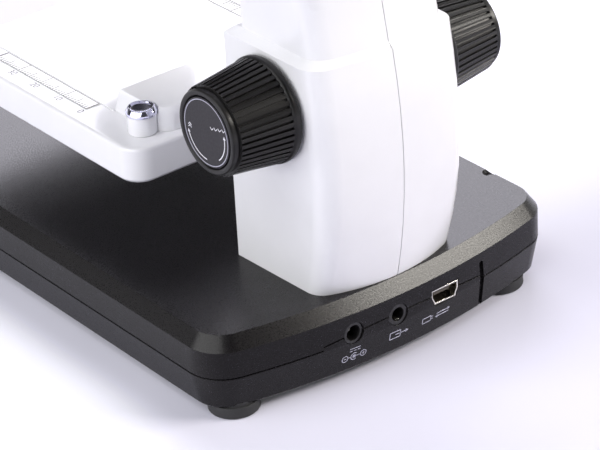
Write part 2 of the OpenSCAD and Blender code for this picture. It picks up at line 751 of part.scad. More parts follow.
module lens_barrel() color([0.16, 0.16, 0.17]) translate([0, lens_y, 0]) {
    rotate_extrude($fn = 72) polygon([
        [5, tip_z + 5], [8, tip_z + 5], [8, flange_z + 2], [housing_r + 2, flange_z + 2],
        [housing_r + 2, flange_z + 4], [6.4, flange_z + 4], [6.4, tip_z + 6], [5, tip_z + 6]
    ]);
    at_corners(11, [-11, 11]) bar_z(flange_z + 4 - eps, sensor_z, 0, 0, 2);
}

// A double-convex lens: two spherical caps on a short cylindrical edge.
module objective_lens() color([0.7, 0.85, 0.9, 0.5]) translate([0, lens_y, tip_z + 6])
    rotate_extrude($fn = 72) polygon(concat(
        [[0, 0.2], [4.8, 0.2], [4.8, 0], [6.4 - seat, 0], [6.4 - seat, 1.8]],
        [for (i = [1:5]) let (r = 6.3 * (1 - i / 5)) [r, 3.4 - 1.6 * pow(r / 6.4, 2)]]
    ));

module led_ring_board() color([0.9, 0.9, 0.88]) translate([0, lens_y, tip_z + 5.5]) difference() {
    cylinder(h = 1.4, r = tip_r - 1.6 - seat);
    translate([0, 0, -1]) cylinder(h = 4, r = 8 + 0.1);
}

module leds() color([0.98, 0.95, 0.7]) translate([0, lens_y, tip_z + 4.2])
    for (i = [0:7]) rotate([0, 0, 22.5 + 45 * i]) translate([9, -0.9, 0]) cube([2, 1.8, 1.3]);

module light_diffuser() color([0.9, 0.93, 0.95, 0.6]) translate([0, lens_y, tip_z + 1.2]) difference() {
    cylinder(h = 1.6, r = tip_r - 1.6 - seat);
    translate([0, 0, -1]) cylinder(h = 4, r = 6);
}

module sensor_board() color([0.08, 0.35, 0.2])
    span_box([-14, lens_y - 14, sensor_z], [14, lens_y + 14, sensor_z + board_t]);

module image_sensor() color([0.2, 0.2, 0.22])
    span_box([-4, lens_y - 3.5, sensor_z - 1.2], [4, lens_y + 3.5, sensor_z]);

module keypad_board() color([0.08, 0.35, 0.2])
    plate(keypad_z, keypad_z + keypad_t,
          [for (p = round_rect(2 * button_pitch + 4.2, -2.7, 6, 2, 3)) p + [0, button_y]]);

module button_switches() color([0.25, 0.25, 0.26]) for (i = [-2:2])
    translate([i * button_pitch, button_y, keypad_z + keypad_t]) {
        translate([-2.6, -2.6, 0]) cube([5.2, 5.2, 1.6]);
        cylinder(h = switch_top - keypad_z - keypad_t, r = 1.5);
    }

module brightness_pot() color([0.3, 0.32, 0.34]) translate([wheel_x, wheel_y, 0]) {
    bar_z(flange_z, wheel_z - wheel_t / 2 - gap, 0, 0, 2.8);
    bar_z(flange_z, wheel_z + wheel_t / 2 + gap, 0, 0, 1.5);
}

module hinge_pin() color([0.75, 0.75, 0.77])
    bar_x(-knuckle_out, knuckle_out, hinge_y, hinge_z, hinge_r);

// ---- Stage ----

post_x = block_hw + 1.6;
post_y = stage_rear - 8;

function stage_outline(inset = 0) = let (hw = stage_hw - inset, front_r = 2.3 * stage_r)
    concat(
        arc([stage_hw - stage_r, stage_rear - stage_r], stage_r - inset, 0, 90, 6),
        arc([stage_r - stage_hw, stage_rear - stage_r], stage_r - inset, 90, 180, 6),
        arc([front_r - stage_hw, stage_front + front_r], front_r - inset, 180, 270, 9),
        arc([stage_hw - front_r, stage_front + front_r], front_r - inset, 270, 360, 9)
    );

// The block in plan, with round rear corners.
function block_plan(side_in, front_in, back_in) =
    let (hw = block_hw - side_in, r = 5.5, y = block_back - back_in - r)
    concat(arc([hw - r, y], r, 0, 90, 6), arc([r - hw, y], r, 90, 180, 6),
           [[-hw, block_front + front_in], [hw, block_front + front_in]]);

// A tray with a raised middle between the ruler strips, open underneath.
module stage_tray() color([0.95, 0.95, 0.96]) difference() {
    union() {
        difference() {
            hull() {
                slice(tray_z + skin, stage_outline(0.7));
                slice(tray_z + 1, stage_outline());
                slice(band_z - 1.2, stage_outline());
                slice(band_z - 0.4, stage_outline(0.4));
                slice(band_z, stage_outline(1.2));
            }
            plate(tray_z - 1, stage_z - wall, stage_outline(wall));
        }
        translate([0, 0, band_z - eps]) linear_extrude(stage_z - band_z + eps) intersection() {
            polygon(stage_outline(2));
            translate([9.9 - stage_hw, stage_front])
                square([2 * stage_hw - 19.8, block_front - stage_front]);
        }
        // Ribs under the top.
        for (x = [-stage_hw / 2, 0, stage_hw / 2])
            span_box([x - 0.7, stage_front + wall - eps, stage_z - 5.5],
                     [x + 0.7, stage_rear - wall + eps, stage_z - wall + eps]);
        for (y = [stage_front + stage_l / 3, stage_front + 2 * stage_l / 3])
            span_box([-stage_hw + wall - eps, y - 0.7, stage_z - 5.5],
                     [stage_hw - wall + eps, y + 0.7, stage_z - wall + eps]);
    }
    for (side = [-1, 1]) bar_z(tray_z, stage_z + 1, side * post_x, post_y, 1.5 + seat);
}

module stage_bracket() color([0.95, 0.95, 0.96]) difference() {
    union() {
        hull() {
            slice(band_z + skin, block_plan(0, 0, 0));
            slice(stage_z + block_t - 2.4, block_plan(0.3, 1.1, 0));
            slice(stage_z + block_t - 1.2, block_plan(0.4, 1.4, 0.3));
            slice(stage_z + block_t - 0.35, block_plan(0.5, 1.7, 1.1));
            slice(stage_z + block_t, block_plan(0.7, 2, 2.3));
        }
        span_box([-arm_hw, block_back - 4, band_z],
                 [arm_hw, carriage_front, stage_z + block_t - 1.2]);
        span_box([-arm_hw, stage_rear, tray_z + 1.5], [arm_hw, carriage_front, band_z + eps]);
    }
    for (side = [-1, 1]) {
        bar_z(stage_z - 1, stage_z + post_h, side * post_x, post_y, post_r + seat);
        bar_z(stage_z + post_h - eps, stage_z + block_t + 1, side * post_x, post_y, post_r + 0.35);
        bar_y(carriage_front - 8, carriage_front + 1, side * 3.4, tray_z + 4.5, 1.25 + seat);
    }
}

module stage_carriage() color([0.7, 0.71, 0.73]) difference() {
    span_box([-carriage_hw, carriage_front, carriage_z],
             [carriage_hw, carriage_back, carriage_z + carriage_h]);
    for (side = [-1, 1]) {
        bar_z(carriage_z - 1, carriage_z + carriage_h + 1, side * rod_x, rod_y, slide_r + seat);
        bar_y(carriage_front - 1, carriage_back + 1, side * 3.4, tray_z + 4.5, 1.45);
        bar_y(rack_root - rack_t + 1.2, carriage_back + 1, side * 3.4, tray_z + 4.5, 2.3);
    }
    span_box([-rack_hw - seat, rack_root - rack_t, rack_z0],
             [rack_hw + seat, carriage_back + 1, carriage_z + carriage_h + 1]);
    span_box([-pinion_hw - 0.7, rack_root, carriage_z - 1],
             [pinion_hw + 0.7, carriage_back + 1, carriage_z + carriage_h + 1]);
}

module carriage_screws() color([0.6, 0.6, 0.62]) for (side = [-1, 1])
    translate([side * 3.4, rack_root - rack_t + 1.2, tray_z + 4.5]) rotate([90, 0, 0])
        screw(1.25, 2.1, 1.1, rack_root - rack_t + 1.2 - carriage_front + 7);

module slide_bushes() color([0.8, 0.65, 0.3])
    for (side = [-1, 1], z = [carriage_z, carriage_z + carriage_h - 6])
        translate([side * rod_x, rod_y, z]) difference() {
            cylinder(h = 6, r = slide_r);
            translate([0, 0, -1]) cylinder(h = 8, r = rod_r + run);
        }

// A straight rack tooth's two root points and two tip points, about its own middle.
module focus_rack() color([0.78, 0.65, 0.32]) {
    half_pitch_t = tooth_pitch / 4 - 0.06;
    root_w = half_pitch_t + (rack_y - rack_root) * tan(20);
    tip_w = half_pitch_t - (rack_tip - rack_y) * tan(20);
    first = ceil((rack_z0 + tooth_pitch - knob_z) / tooth_pitch);
    last = floor((rack_z1 - tooth_pitch - knob_z) / tooth_pitch);
    rotate([90, 0, 90]) translate([0, 0, -rack_hw]) linear_extrude(2 * rack_hw) polygon(concat(
        [[rack_root - rack_t, rack_z1], [rack_root - rack_t, rack_z0], [rack_root, rack_z0]],
        [for (i = [first:last], p = [[rack_root, -root_w], [rack_tip, -tip_w],
                                     [rack_tip, tip_w], [rack_root, root_w]])
            [p.x, knob_z + i * tooth_pitch + p.y]],
        [[rack_root, rack_z1]]
    ));
}

module scale_strips() color([0.93, 0.93, 0.93]) for (side = [-1, 1])
    span_box([side > 0 ? stage_hw - 9.8 : 5.4 - stage_hw, stage_front + 16, band_z],
             [side > 0 ? stage_hw - 5.4 : 9.8 - stage_hw, stage_rear - 27, band_z + 0.2]);

module clip_posts() color([0.95, 0.95, 0.96]) for (side = [-1, 1]) {
    bar_z(band_z, stage_z + post_h, side * post_x, post_y, post_r);
    bar_z(band_z - wall, band_z + eps, side * post_x, post_y, 1.5);
}

// Turned cap with a bevelled rim and a dished top.
module post_caps() color([0.85, 0.86, 0.9]) for (side = [-1, 1])
    translate([side * post_x, post_y, stage_z + post_h]) rotate_extrude() polygon(concat(
        [[0, 0], [post_r - 0.4, 0], [post_r + 0.2, 0.35], [post_r + 0.2, cap_h - 1.1],
         [post_r - 0.45, cap_h]],
        [for (i = [0:5]) let (k = 1 - i / 5) [(post_r - 0.6) * k, cap_h - 0.65 * (1 - k * k)]]
    ));

// ---- Focus drive ----

knob_x = col_hw + knob_gap;
flange_t = 2.4;
face_t = 1.6;
disc_r = knob_r2 - 1.75;

module focus_shaft() color([0.75, 0.76, 0.78])
    bar_x(-knob_x - knob_l + 4.5, knob_x + knob_l - 4.5, knob_y, knob_z, shaft_r);

// Half the angle of a pinion tooth at radius r, for an involute flank.
function inv(a) = tan(a) - a * PI / 180;
function half_tooth(r) = let (base_r = pitch_r * cos(20), a = r > base_r ? acos(base_r / r) : 0)
    90 / teeth - 0.36 + (inv(20) - inv(a)) * 180 / PI;

function pinion_outline() = let (
        base_r = pitch_r * cos(20), tip = pitch_r + 0.9 * tooth_m, root = pitch_r - tooth_m,
        radii = [for (k = [0:4]) base_r + (tip - base_r) * k / 4],
        one = concat([[root, half_tooth(base_r)]], [for (r = radii) [r, half_tooth(r)]])
    )
    [for (i = [0:teeth - 1]) let (mid = 360 * (i + 0.5) / teeth)
        each concat(
            [for (p = one) p.x * [cos(mid - p.y), sin(mid - p.y)]],
            [for (k = [len(one) - 1:-1:0]) one[k].x * [cos(mid + one[k].y), sin(mid + one[k].y)]]
        )];

module focus_pinion() color([0.8, 0.65, 0.3])
    translate([0, knob_y, knob_z]) rotate([90, 0, 90]) translate([0, 0, -pinion_hw]) difference() {
        linear_extrude(2 * pinion_hw) polygon(pinion_outline());
        translate([0, 0, -1]) cylinder(h = 2 * pinion_hw + 2, r = shaft_r + seat);
    }

// The ribbed cone's section at its wide end: one flat-topped rib after another.
function rib_outline(r) = [for (i = [0:knob_ribs - 1]) let (a = 360 / knob_ribs)
    each [for (p = [[0, 0.08], [1, 0.22], [1, 0.70], [0, 0.84]])
        (r - rib_depth + p.x * rib_depth) * [cos(a * (i + p.y)), sin(a * (i + p.y))]]];

// A knob with its flange at z = 0 and its face towards +Z.
module knob() difference() {
    cone_h = knob_l - flange_t - face_t;
    cone_r = knob_r1 - 0.35;
    union() {
        rotate_extrude($fn = 96) polygon(concat(
            [[0, 0], [knob_r1 - 0.6, 0]], arc([knob_r1 - 0.8, 0.8], 0.8, -70, 0, 3),
            arc([knob_r1 - 1, flange_t - 1], 1, 0, 90, 4), [[0, flange_t]]
        ));
        translate([0, 0, flange_t - 0.5]) linear_extrude(cone_h + 0.5, scale = (knob_r2 + 0.6) / cone_r)
            polygon(rib_outline(cone_r));
        translate([0, 0, flange_t + cone_h - eps]) rotate_extrude($fn = 96) polygon(concat(
            [[0, 0], [knob_r2, 0]], arc([knob_r2 - 1, face_t - 1], 1, 0, 90, 4), [[0, face_t]]
        ));
    }
    translate([0, 0, -1]) cylinder(h = knob_l - 3.5, r = shaft_r + seat);
    translate([0, 0, knob_l - 1.1]) cylinder(h = 2, r = disc_r + 0.2, $fn = 96);
}

module knob_disc() translate([0, 0, knob_l - 1.1]) rotate_extrude($fn = 96)
    polygon([[0, 0], [disc_r, 0], [disc_r, 0.85], [disc_r - 0.2, 1.05], [0, 1.05]]);

module on_right() translate([knob_x, knob_y, knob_z]) rotate([0, 90, 0]) children();
module on_left() mirror([1, 0, 0]) on_right() children();

module knob_right() color([0.12, 0.11, 0.12]) on_right() knob();
module knob_left() color([0.12, 0.11, 0.12]) on_left() knob();
module knob_disc_right() color([0.27, 0.26, 0.3]) on_right() knob_disc();
module knob_disc_left() color([0.27, 0.26, 0.3]) on_left() knob_disc();

// ---- Screen ----

// The lid is drawn closed about the hinge axis, then swung open.
module in_lid() translate([0, hinge_y, hinge_z]) rotate([-lid_open, 0, 0]) children();

function lid_outline(inset = 0) =
    round_rect(lid_hw - inset, inset - lid_l, lid_back - inset, 6 - inset, 6);

module lid_cover() color([0.95, 0.95, 0.96]) in_lid() difference() {
    union() {
        difference() {
            hull() {
                slice(lid_split + skin, lid_outline());
                slice(lid_bottom + lid_t - 2.6, lid_outline());
                slice(lid_bottom + lid_t - 0.9, lid_outline(0.8));
                slice(lid_bottom + lid_t, lid_outline(2.6));
            }
            plate(lid_split - 1, lid_bottom + lid_t - 2, lid_outline(2.4));
        }
        bar_x(gap - knuckle_in, knuckle_in - gap, 0, 0, knuckle_r);
        span_box([gap - knuckle_in, lid_back - 1, lid_split], [knuckle_in - gap, 0, 3.2]);
    }
    bar_x(-knuckle_in, knuckle_in, 0, 0, hinge_r + run);
}

module lid_bezel() color([0.06, 0.06, 0.065]) in_lid() difference() {
    plate(lid_bottom, lid_split, lid_outline(0.1));
    lcd_box(1.5, lid_bottom - 1, lid_bottom + 1);
    lcd_box(0, lid_bottom - 1, lid_split + 1);
    lcd_box(3, lid_bottom + 1.8, lid_split + 1);
}

// A box round the picture area, grown sideways, between two heights in the closed lid.
module lcd_box(grow, z0, z1)
    span_box([-lcd_w / 2 - grow, lcd_mid - lcd_h / 2 - grow, z0],
             [lcd_w / 2 + grow, lcd_mid + lcd_h / 2 + grow, z1]);

module lcd_panel() color([0.1, 0.12, 0.16]) in_lid() lcd_box(2.9, lid_bottom + 1.8, lid_split + 1.2);
module lcd_window() color([0.05, 0.06, 0.08, 0.6]) in_lid() lcd_box(1.4, lid_bottom, lid_bottom + 1);

// ---- Controls ----

// A push button with a retaining flange under the cover.
module push_button(i) translate([i * button_pitch, button_y, 0]) rotate_extrude() polygon(concat(
    [[0, switch_top + button_travel + 0.05], [button_r + 1, switch_top + button_travel + 0.05],
     [button_r + 1, top_z - wall - 0.3], [button_r, top_z - wall - 0.3]],
    arc([button_r - 0.7, top_z + button_proud - 0.7], 0.7, 0, 90, 3),
    [[0, top_z + button_proud - 0.25]]
));

module power_button() color([0.2, 0.2, 0.21]) push_button(-2);
module menu_button() color([0.2, 0.2, 0.21]) push_button(-1);
module minus_button() color([0.2, 0.2, 0.21]) push_button(0);
module plus_button() color([0.2, 0.2, 0.21]) push_button(1);
module capture_button() color([0.2, 0.2, 0.21]) push_button(2);

module brightness_wheel() color([0.15, 0.15, 0.16])
    translate([wheel_x, wheel_y, wheel_z - wheel_t / 2]) difference() {
        linear_extrude(wheel_t) polygon([for (i = [0:35]) let (a = 10 * i)
            each [for (p = [[0, 1], [0.35, 5], [0.35, 8]])
                (wheel_r - 0.35 + p.x) * [cos(a + p.y), sin(a + p.y)]]]);
        translate([0, 0, -1]) cylinder(h = wheel_t + 2, r = 1.5 + run);
    }

base_top_shell();
base_bottom_shell();
base_weight();
rubber_feet();
base_screws();
battery_pack();
main_board();
board_screws();
usb_socket();
usb_contact_block();
av_jack();
dc_jack();
dc_centre_pin();
card_socket();
column_right_shell();
column_left_shell();
column_screws();
mechanism_frame();
guide_rods();
shaft_bushes();
ribbon_cable();
head_top_cover();
cover_screws();
lens_housing();
lens_barrel();
objective_lens();
led_ring_board();
leds();
light_diffuser();
sensor_board();
image_sensor();
keypad_board();
button_switches();
brightness_pot();
hinge_pin();
stage_tray();
stage_bracket();
stage_carriage();
carriage_screws();
slide_bushes();
focus_rack();
scale_strips();
clip_posts();
post_caps();
focus_shaft();
focus_pinion();
knob_right();
knob_left();
knob_disc_right();
knob_disc_left();
lid_cover();
lid_bezel();
lcd_panel();
lcd_window();
power_button();
menu_button();
minus_button();
plus_button();
capture_button();
brightness_wheel();
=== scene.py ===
# %% [markdown]
# # A desktop digital microscope
# The microscope has a weighted black base, a white column with ribbed focus knobs, a flat stage, a
# camera head and a screen on a hinge. The CAD model holds every size and every joint, so this
# script loads it as a fixed frame and changes nothing in it. It then does three things. It rounds
# the moulded edges, it models the pieces whose form is finer than the CAD, such as ribs, caps and
# printed marks, and it gives every surface its finish.

# %% Load the frame
import json
import math

import bpy
from mathutils import Matrix, Quaternion, Vector

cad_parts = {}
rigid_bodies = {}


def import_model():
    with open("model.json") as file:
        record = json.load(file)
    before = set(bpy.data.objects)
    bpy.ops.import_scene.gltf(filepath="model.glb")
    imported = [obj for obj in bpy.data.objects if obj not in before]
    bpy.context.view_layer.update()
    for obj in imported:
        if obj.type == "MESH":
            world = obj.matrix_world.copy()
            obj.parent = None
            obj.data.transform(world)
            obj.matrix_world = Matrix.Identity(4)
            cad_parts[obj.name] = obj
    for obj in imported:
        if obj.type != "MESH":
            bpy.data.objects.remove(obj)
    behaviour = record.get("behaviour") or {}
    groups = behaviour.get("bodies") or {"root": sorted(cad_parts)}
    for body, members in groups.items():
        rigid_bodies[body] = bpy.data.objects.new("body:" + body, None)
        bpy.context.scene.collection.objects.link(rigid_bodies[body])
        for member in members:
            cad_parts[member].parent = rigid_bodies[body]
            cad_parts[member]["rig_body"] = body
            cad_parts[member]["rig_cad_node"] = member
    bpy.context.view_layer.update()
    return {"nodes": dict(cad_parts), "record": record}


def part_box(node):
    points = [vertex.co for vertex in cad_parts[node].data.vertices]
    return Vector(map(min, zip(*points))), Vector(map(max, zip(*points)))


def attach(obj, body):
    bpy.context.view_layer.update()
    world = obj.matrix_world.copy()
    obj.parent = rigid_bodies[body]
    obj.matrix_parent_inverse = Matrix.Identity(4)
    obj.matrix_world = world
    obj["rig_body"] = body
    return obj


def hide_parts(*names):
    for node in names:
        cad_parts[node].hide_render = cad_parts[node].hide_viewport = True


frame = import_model()
MM = 0.001

# %% [markdown]
# ## Selecting and finishing a piece
# Blender's operators act on all that is selected, and the frame arrives selected. With a wrong
# selection they would move or cut a CAD part as well. So each step first makes one object the only
# selected and active one, and edit mode is entered with a selection that the code has just made. A
# finished piece keeps its place in its mesh, with the object itself at the origin, because the CAD
# nodes are made that way and the joints move them all from the same origin.

# %% Selecting helpers
def only(obj):
    """Makes obj the one selected and active object."""
    bpy.ops.object.select_all(action="DESELECT")
    obj.select_set(True)
    bpy.context.view_layer.objects.active = obj
    return obj


def open_whole(obj, kind):
    """Enters edit mode, in vertex, edge or face select mode, with all of obj selected."""
    only(obj)
    bpy.ops.object.mode_set(mode="EDIT")
    bpy.ops.mesh.select_mode(type=kind)
    bpy.ops.mesh.select_all(action="SELECT")


def open_part(obj, kind, wanted):
    """Enters edit mode with only those vertices or faces selected that wanted accepts."""
    open_whole(obj, kind)
    bpy.ops.mesh.select_all(action="DESELECT")
    bpy.ops.object.mode_set(mode="OBJECT")
    for element in obj.data.vertices if kind == "VERT" else obj.data.polygons:
        element.select = wanted(element)
    bpy.ops.object.mode_set(mode="EDIT")


def close():
    """Leaves edit mode."""
    bpy.ops.object.mode_set(mode="OBJECT")


# %% Finishing helpers
def new_piece(name):
    """Names the object that an operator has just made."""
    piece = bpy.context.active_object
    piece.name = name
    piece.data.name = name
    return piece


def settle(obj):
    """Moves an object's place, turn and scale into its mesh."""
    only(obj)
    bpy.ops.object.transform_apply(location=True, rotation=True, scale=True)
    return obj


def join(pieces, name):
    """Joins several pieces into the first one."""
    only(pieces[0])
    for piece in pieces[1:]:
        piece.select_set(True)
    bpy.ops.object.join()
    return new_piece(name)


def discard(obj):
    """Deletes a pattern piece once its copies are made."""
    only(obj)
    bpy.ops.object.delete()


def use(obj, kind, **settings):
    """Adds a modifier to obj, sets it up and applies it."""
    only(obj)
    modifier = obj.modifiers.new(kind.title(), kind)
    for key, value in settings.items():
        setattr(modifier, key, value)
    bpy.ops.object.modifier_apply(modifier=modifier.name)
    return obj


# %% [markdown]
# An edge can be rounded by hand with a bevel in edit mode, edge by edge, or with a Bevel modifier
# that finds every edge by its angle. The modifier is used here, because it treats a whole moulding
# in one go. Smooth shading alone would then bend the light on the large faces close to each edge.
# Weighted normals let the large faces win, so they stay flat right up to the rounding.

# %% Rounding edges
SMOOTH_TURN = 38


def round_edges(obj, width, segments=3, turn=30, flat=True):
    """Rounds by width in mm the edges that turn by more than turn degrees, and smooths the rest."""
    use(obj, "BEVEL", width=width * MM, segments=segments, limit_method="ANGLE",
        angle_limit=math.radians(turn))
    bpy.ops.object.shade_smooth_by_angle(angle=math.radians(SMOOTH_TURN))
    if flat:
        use(obj, "WEIGHTED_NORMAL", keep_sharp=True)
    return obj


# %% [markdown]
# Round pieces such as caps, keys and feet come off a lathe or out of a round mould. Stacked
# cylinders could stand for them, but they have neither a bevel nor a dish. So each is drawn as
# half of its outline, from the axis outwards, and spun once round. The outline grows from a single
# point by extrusion, as by hand. Only the vertex mode can extrude a lone point, so it is set
# first.

# %% Spinning a profile
SPIN_MERGE = 0.002


def on_circle(radius, angle):
    """The point at an angle in degrees on a circle round the origin."""
    return (radius * math.cos(math.radians(angle)), radius * math.sin(math.radians(angle)))


def arc(centre, radius, start, end, steps):
    """Points on an arc between two angles in degrees, for a profile."""
    spots = [on_circle(radius, start + (end - start) * k / steps) for k in range(steps + 1)]
    return [(centre[0] + across, centre[1] + up) for across, up in spots]


def turned(name, profile, steps, smooth):
    """Spins (radius, height) points in mm round the upright axis through the origin."""
    bpy.ops.object.select_all(action="DESELECT")
    bpy.ops.mesh.primitive_plane_add(size=MM)
    piece = new_piece(name)
    open_whole(piece, "VERT")
    bpy.ops.mesh.merge(type="CENTER")
    bpy.ops.transform.translate(value=(profile[0][0] * MM, 0, profile[0][1] * MM))
    for (r0, z0), (r1, z1) in zip(profile, profile[1:]):
        bpy.ops.mesh.extrude_region_move(
            TRANSFORM_OT_translate={"value": ((r1 - r0) * MM, 0, (z1 - z0) * MM)})
    bpy.ops.mesh.select_all(action="SELECT")
    bpy.ops.mesh.spin(steps=steps, angle=2 * math.pi, center=(0, 0, 0), axis=(0, 0, 1))
    bpy.ops.mesh.select_all(action="SELECT")
    bpy.ops.mesh.remove_doubles(threshold=SPIN_MERGE * MM)
    bpy.ops.mesh.normals_make_consistent(inside=False)
    close()
    bpy.ops.object.shade_smooth_by_angle(angle=math.radians(smooth))
    return piece


def copy_to(piece, name, place):
    """A copy of a piece that was made round the origin, moved to its place."""
    only(piece)
    bpy.ops.object.duplicate()
    copy = new_piece(name)
    copy.location = place
    return settle(copy)


# %% [markdown]
# ## The camera
# The microscope is seen from behind its right rear corner, from above, through a long lens. A long
# lens far away keeps parallel edges nearly parallel, and a short one close by would spread them.
# The camera stands about 0.76 m away. It could be aimed with a Track To constraint, but that
# leaves no room for the slight roll, so its three axes are worked out from a heading, a downward
# pitch and a roll, in radians. The lens follows from a focal length in pixels and the width of the
# frame.

# %% Camera
CAMERA_PLACE = Vector((0.37903, 0.54205, 0.37052))
HEADING, PITCH, ROLL = 0.646147, 0.506997, -0.056460
FOCAL_PIXELS, FRAME_PIXELS, SENSOR = 2933.3, 600, 36.0
CLIP_END = 20

forward = Vector((-math.sin(HEADING) * math.cos(PITCH),
                  -math.cos(HEADING) * math.cos(PITCH), -math.sin(PITCH)))
level = forward.cross(Vector((0, 0, 1))).normalized()
upward = level.cross(forward)
right = math.cos(ROLL) * level + math.sin(ROLL) * upward
top = -math.sin(ROLL) * level + math.cos(ROLL) * upward

bpy.ops.object.camera_add(location=CAMERA_PLACE)
camera = bpy.context.active_object
camera.name = "camera"
turn = Matrix((right, top, -forward)).transposed()
camera.matrix_world = Matrix.Translation(CAMERA_PLACE) @ turn.to_4x4()
camera.data.sensor_width = SENSOR
camera.data.lens = FOCAL_PIXELS * SENSOR / FRAME_PIXELS
camera.data.clip_end = CLIP_END
bpy.context.scene.camera = camera
print("lens in mm:", round(camera.data.lens, 1), "distance in m:", round(CAMERA_PLACE.length, 2))

# %% [markdown]
# ## Node helpers for the finishes
# A finish is a small node tree round one Principled shader. It could be clicked together in the
# shader editor. In code, one function adds a node with its settings and links, and every finish is
# written with it. Another function turns a hex colour, which is what a colour picker shows, into
# the linear numbers that a socket holds.

# %% Node helpers
def linear(code):
    """The linear colour of an sRGB hex code such as #2e2b31."""
    parts = [int(code[i:i + 2], 16) / 255 for i in (1, 3, 5)]
    return [c / 12.92 if c <= 0.04045 else ((c + 0.055) / 1.055) ** 2.4 for c in parts] + [1.0]


def fill(tree, node, inputs):
    """Sets a node's inputs, by name or number, to values or to the outputs of other nodes."""
    for key, value in inputs.items():
        if isinstance(value, bpy.types.NodeSocket):
            tree.links.new(value, node.inputs[key])
        else:
            node.inputs[key].default_value = value
    return node


def add(tree, kind, inputs=None, **settings):
    """Adds one node with its settings and links."""
    made = tree.nodes.new("ShaderNode" + kind)
    for key, value in settings.items():
        setattr(made, key, value)
    return fill(tree, made, inputs or {})


def finish(name, code, roughness, **sockets):
    """A new material with its Principled shader: the start of every finish."""
    material = bpy.data.materials.new(name)
    material.use_nodes = True
    tree = material.node_tree
    shader = tree.nodes["Principled BSDF"]
    fill(tree, shader, {"Base Color": linear(code), "Roughness": roughness})
    fill(tree, shader, {key.replace("_", " "): value for key, value in sockets.items()})
    return material, tree, shader


# %% [markdown]
# No plastic or paper has exactly one colour. The melt flows, the paper is made in clouds, and the
# tone drifts by a percent or two over a few centimetres. A broad noise that mixes two close
# colours gives that drift. It reads Object coordinates, so it is fixed to the piece and moves with
# it.

# %% Drifting tone
DRIFT_START, DRIFT_END = 0.35, 0.65


def drift(tree, shader, place, patch, code_a, code_b):
    """Lets the base colour drift between two close tones, in patches of patch millimetres."""
    cloud = add(tree, "TexNoise", {"Vector": place, "Scale": 1 / (patch * MM), "Detail": 2.0,
                                   "Roughness": 0.5})
    tones = add(tree, "ValToRGB", {"Fac": cloud.outputs["Fac"]})
    first, last = tones.color_ramp.elements
    first.position, first.color = DRIFT_START, linear(code_a)
    last.position, last.color = DRIFT_END, linear(code_b)
    fill(tree, shader, {"Base Color": tones.outputs["Color"]})


# %% [markdown]
# ## Moulded finishes
# A moulded surface is a print of its steel mould. Where the mould was spark-eroded, the plastic
# has a fine grain that breaks up every reflection, as on the black base. Where it was polished,
# the plastic is glossy with only a faint waviness, as on the white column, head and stage. An
# image of a grain could be used, but it has one scale and needs a map on every piece. A noise in
# real millimetres fits all pieces alike. One function makes both kinds, and the size and depth of
# the grain tell them apart. Its Bevel node softens the corners that are too small to have been
# rounded in the mesh.

# %% How a moulded surface is built
NOISE_LOW, NOISE_HIGH = 0.3, 0.7
FLOW_PATCH = 14.0
GLOSSIER, DULLER = 0.05, 0.06
MOULD_EDGE = 0.12


def moulded(name, code, code_b, roughness, grain, depth, **sockets):
    """A moulded or printed surface with a grain of a given size and depth in millimetres."""
    material, tree, shader = finish(name, code, roughness, **sockets)
    place = add(tree, "TexCoord").outputs["Object"]
    drift(tree, shader, place, FLOW_PATCH, code, code_b)
    grains = add(tree, "TexNoise", {"Vector": place, "Scale": 1 / (grain * MM), "Detail": 3.0,
                                    "Roughness": 0.6}).outputs["Fac"]
    gloss = add(tree, "MapRange", {"Value": grains, "From Min": NOISE_LOW, "From Max": NOISE_HIGH,
                                   "To Min": roughness - GLOSSIER, "To Max": roughness + DULLER})
    corners = add(tree, "Bevel", {"Radius": MOULD_EDGE * MM}, samples=4)
    relief = add(tree, "Bump", {"Height": grains, "Distance": depth * MM, "Strength": 1.0,
                                "Normal": corners.outputs["Normal"]})
    fill(tree, shader, {"Roughness": gloss.outputs["Result"], "Normal": relief.outputs["Normal"]})
    return material


# %% Plastics and rubber
# Black ABS from a spark-eroded mould. The grain spreads each lamp into a broad soft sheen. The real
# one is about 0.1 mm across, and it is drawn three times as coarse so that it shows. Its level of
# reflection is a mean here, and the next step splits it for walls and deck.
black_grain = moulded("spark_eroded_black_abs", "#100e10", "#131113", 0.28, 0.34, 0.012,
                      Specular_IOR_Level=0.36)
# White ABS from a polished mould. The coat is its shiny skin, and a slow waviness from the flow of
# the melt keeps the large faces from looking like card.
white_gloss = moulded("polished_white_abs", "#e9e9ed", "#e6e6ea", 0.2, 2.6, 0.004,
                      Coat_Weight=0.3, Coat_Roughness=0.08)
# Satin black ABS. It is dark and even, so the ribs of a knob are read from thin lines of light.
knob_satin = moulded("satin_black_abs", "#0c0b0c", "#0f0d0e", 0.33, 0.5, 0.006,
                     Specular_IOR_Level=0.28)
# Dark grey polycarbonate, dull enough to keep the ink on it readable from the side.
disc_grey = moulded("printed_grey_polycarbonate", "#1f1d22", "#222025", 0.5, 0.6, 0.003,
                    Specular_IOR_Level=0.3)
# Grey ABS. A soft light on the shoulder tells the dish of a key from its edge.
key_grey = moulded("moulded_grey_abs", "#4c4b4f", "#504f53", 0.42, 0.5, 0.005)
# Polished black ABS. Its clear reflections set the frame of the screen off from the white cover.
bezel_black = moulded("polished_black_abs", "#161618", "#18181a", 0.12, 3.0, 0.002)
# Black PBT, a heatproof plastic for sockets and switches: greyer and duller than the shell.
socket_black = moulded("moulded_black_pbt", "#151415", "#19181a", 0.35, 0.6, 0.004)
# Brown PBT for the tongue in the data socket. It lets the gilded contacts stand out.
tongue_brown = moulded("moulded_brown_pbt", "#4b443c", "#524a41", 0.4, 0.6, 0.003)
# Matt black ABS round the lens. It shows almost no highlight, as nothing may shine into the lens.
lens_black = moulded("matt_black_abs", "#1c1b1d", "#201f21", 0.4, 0.4, 0.008)
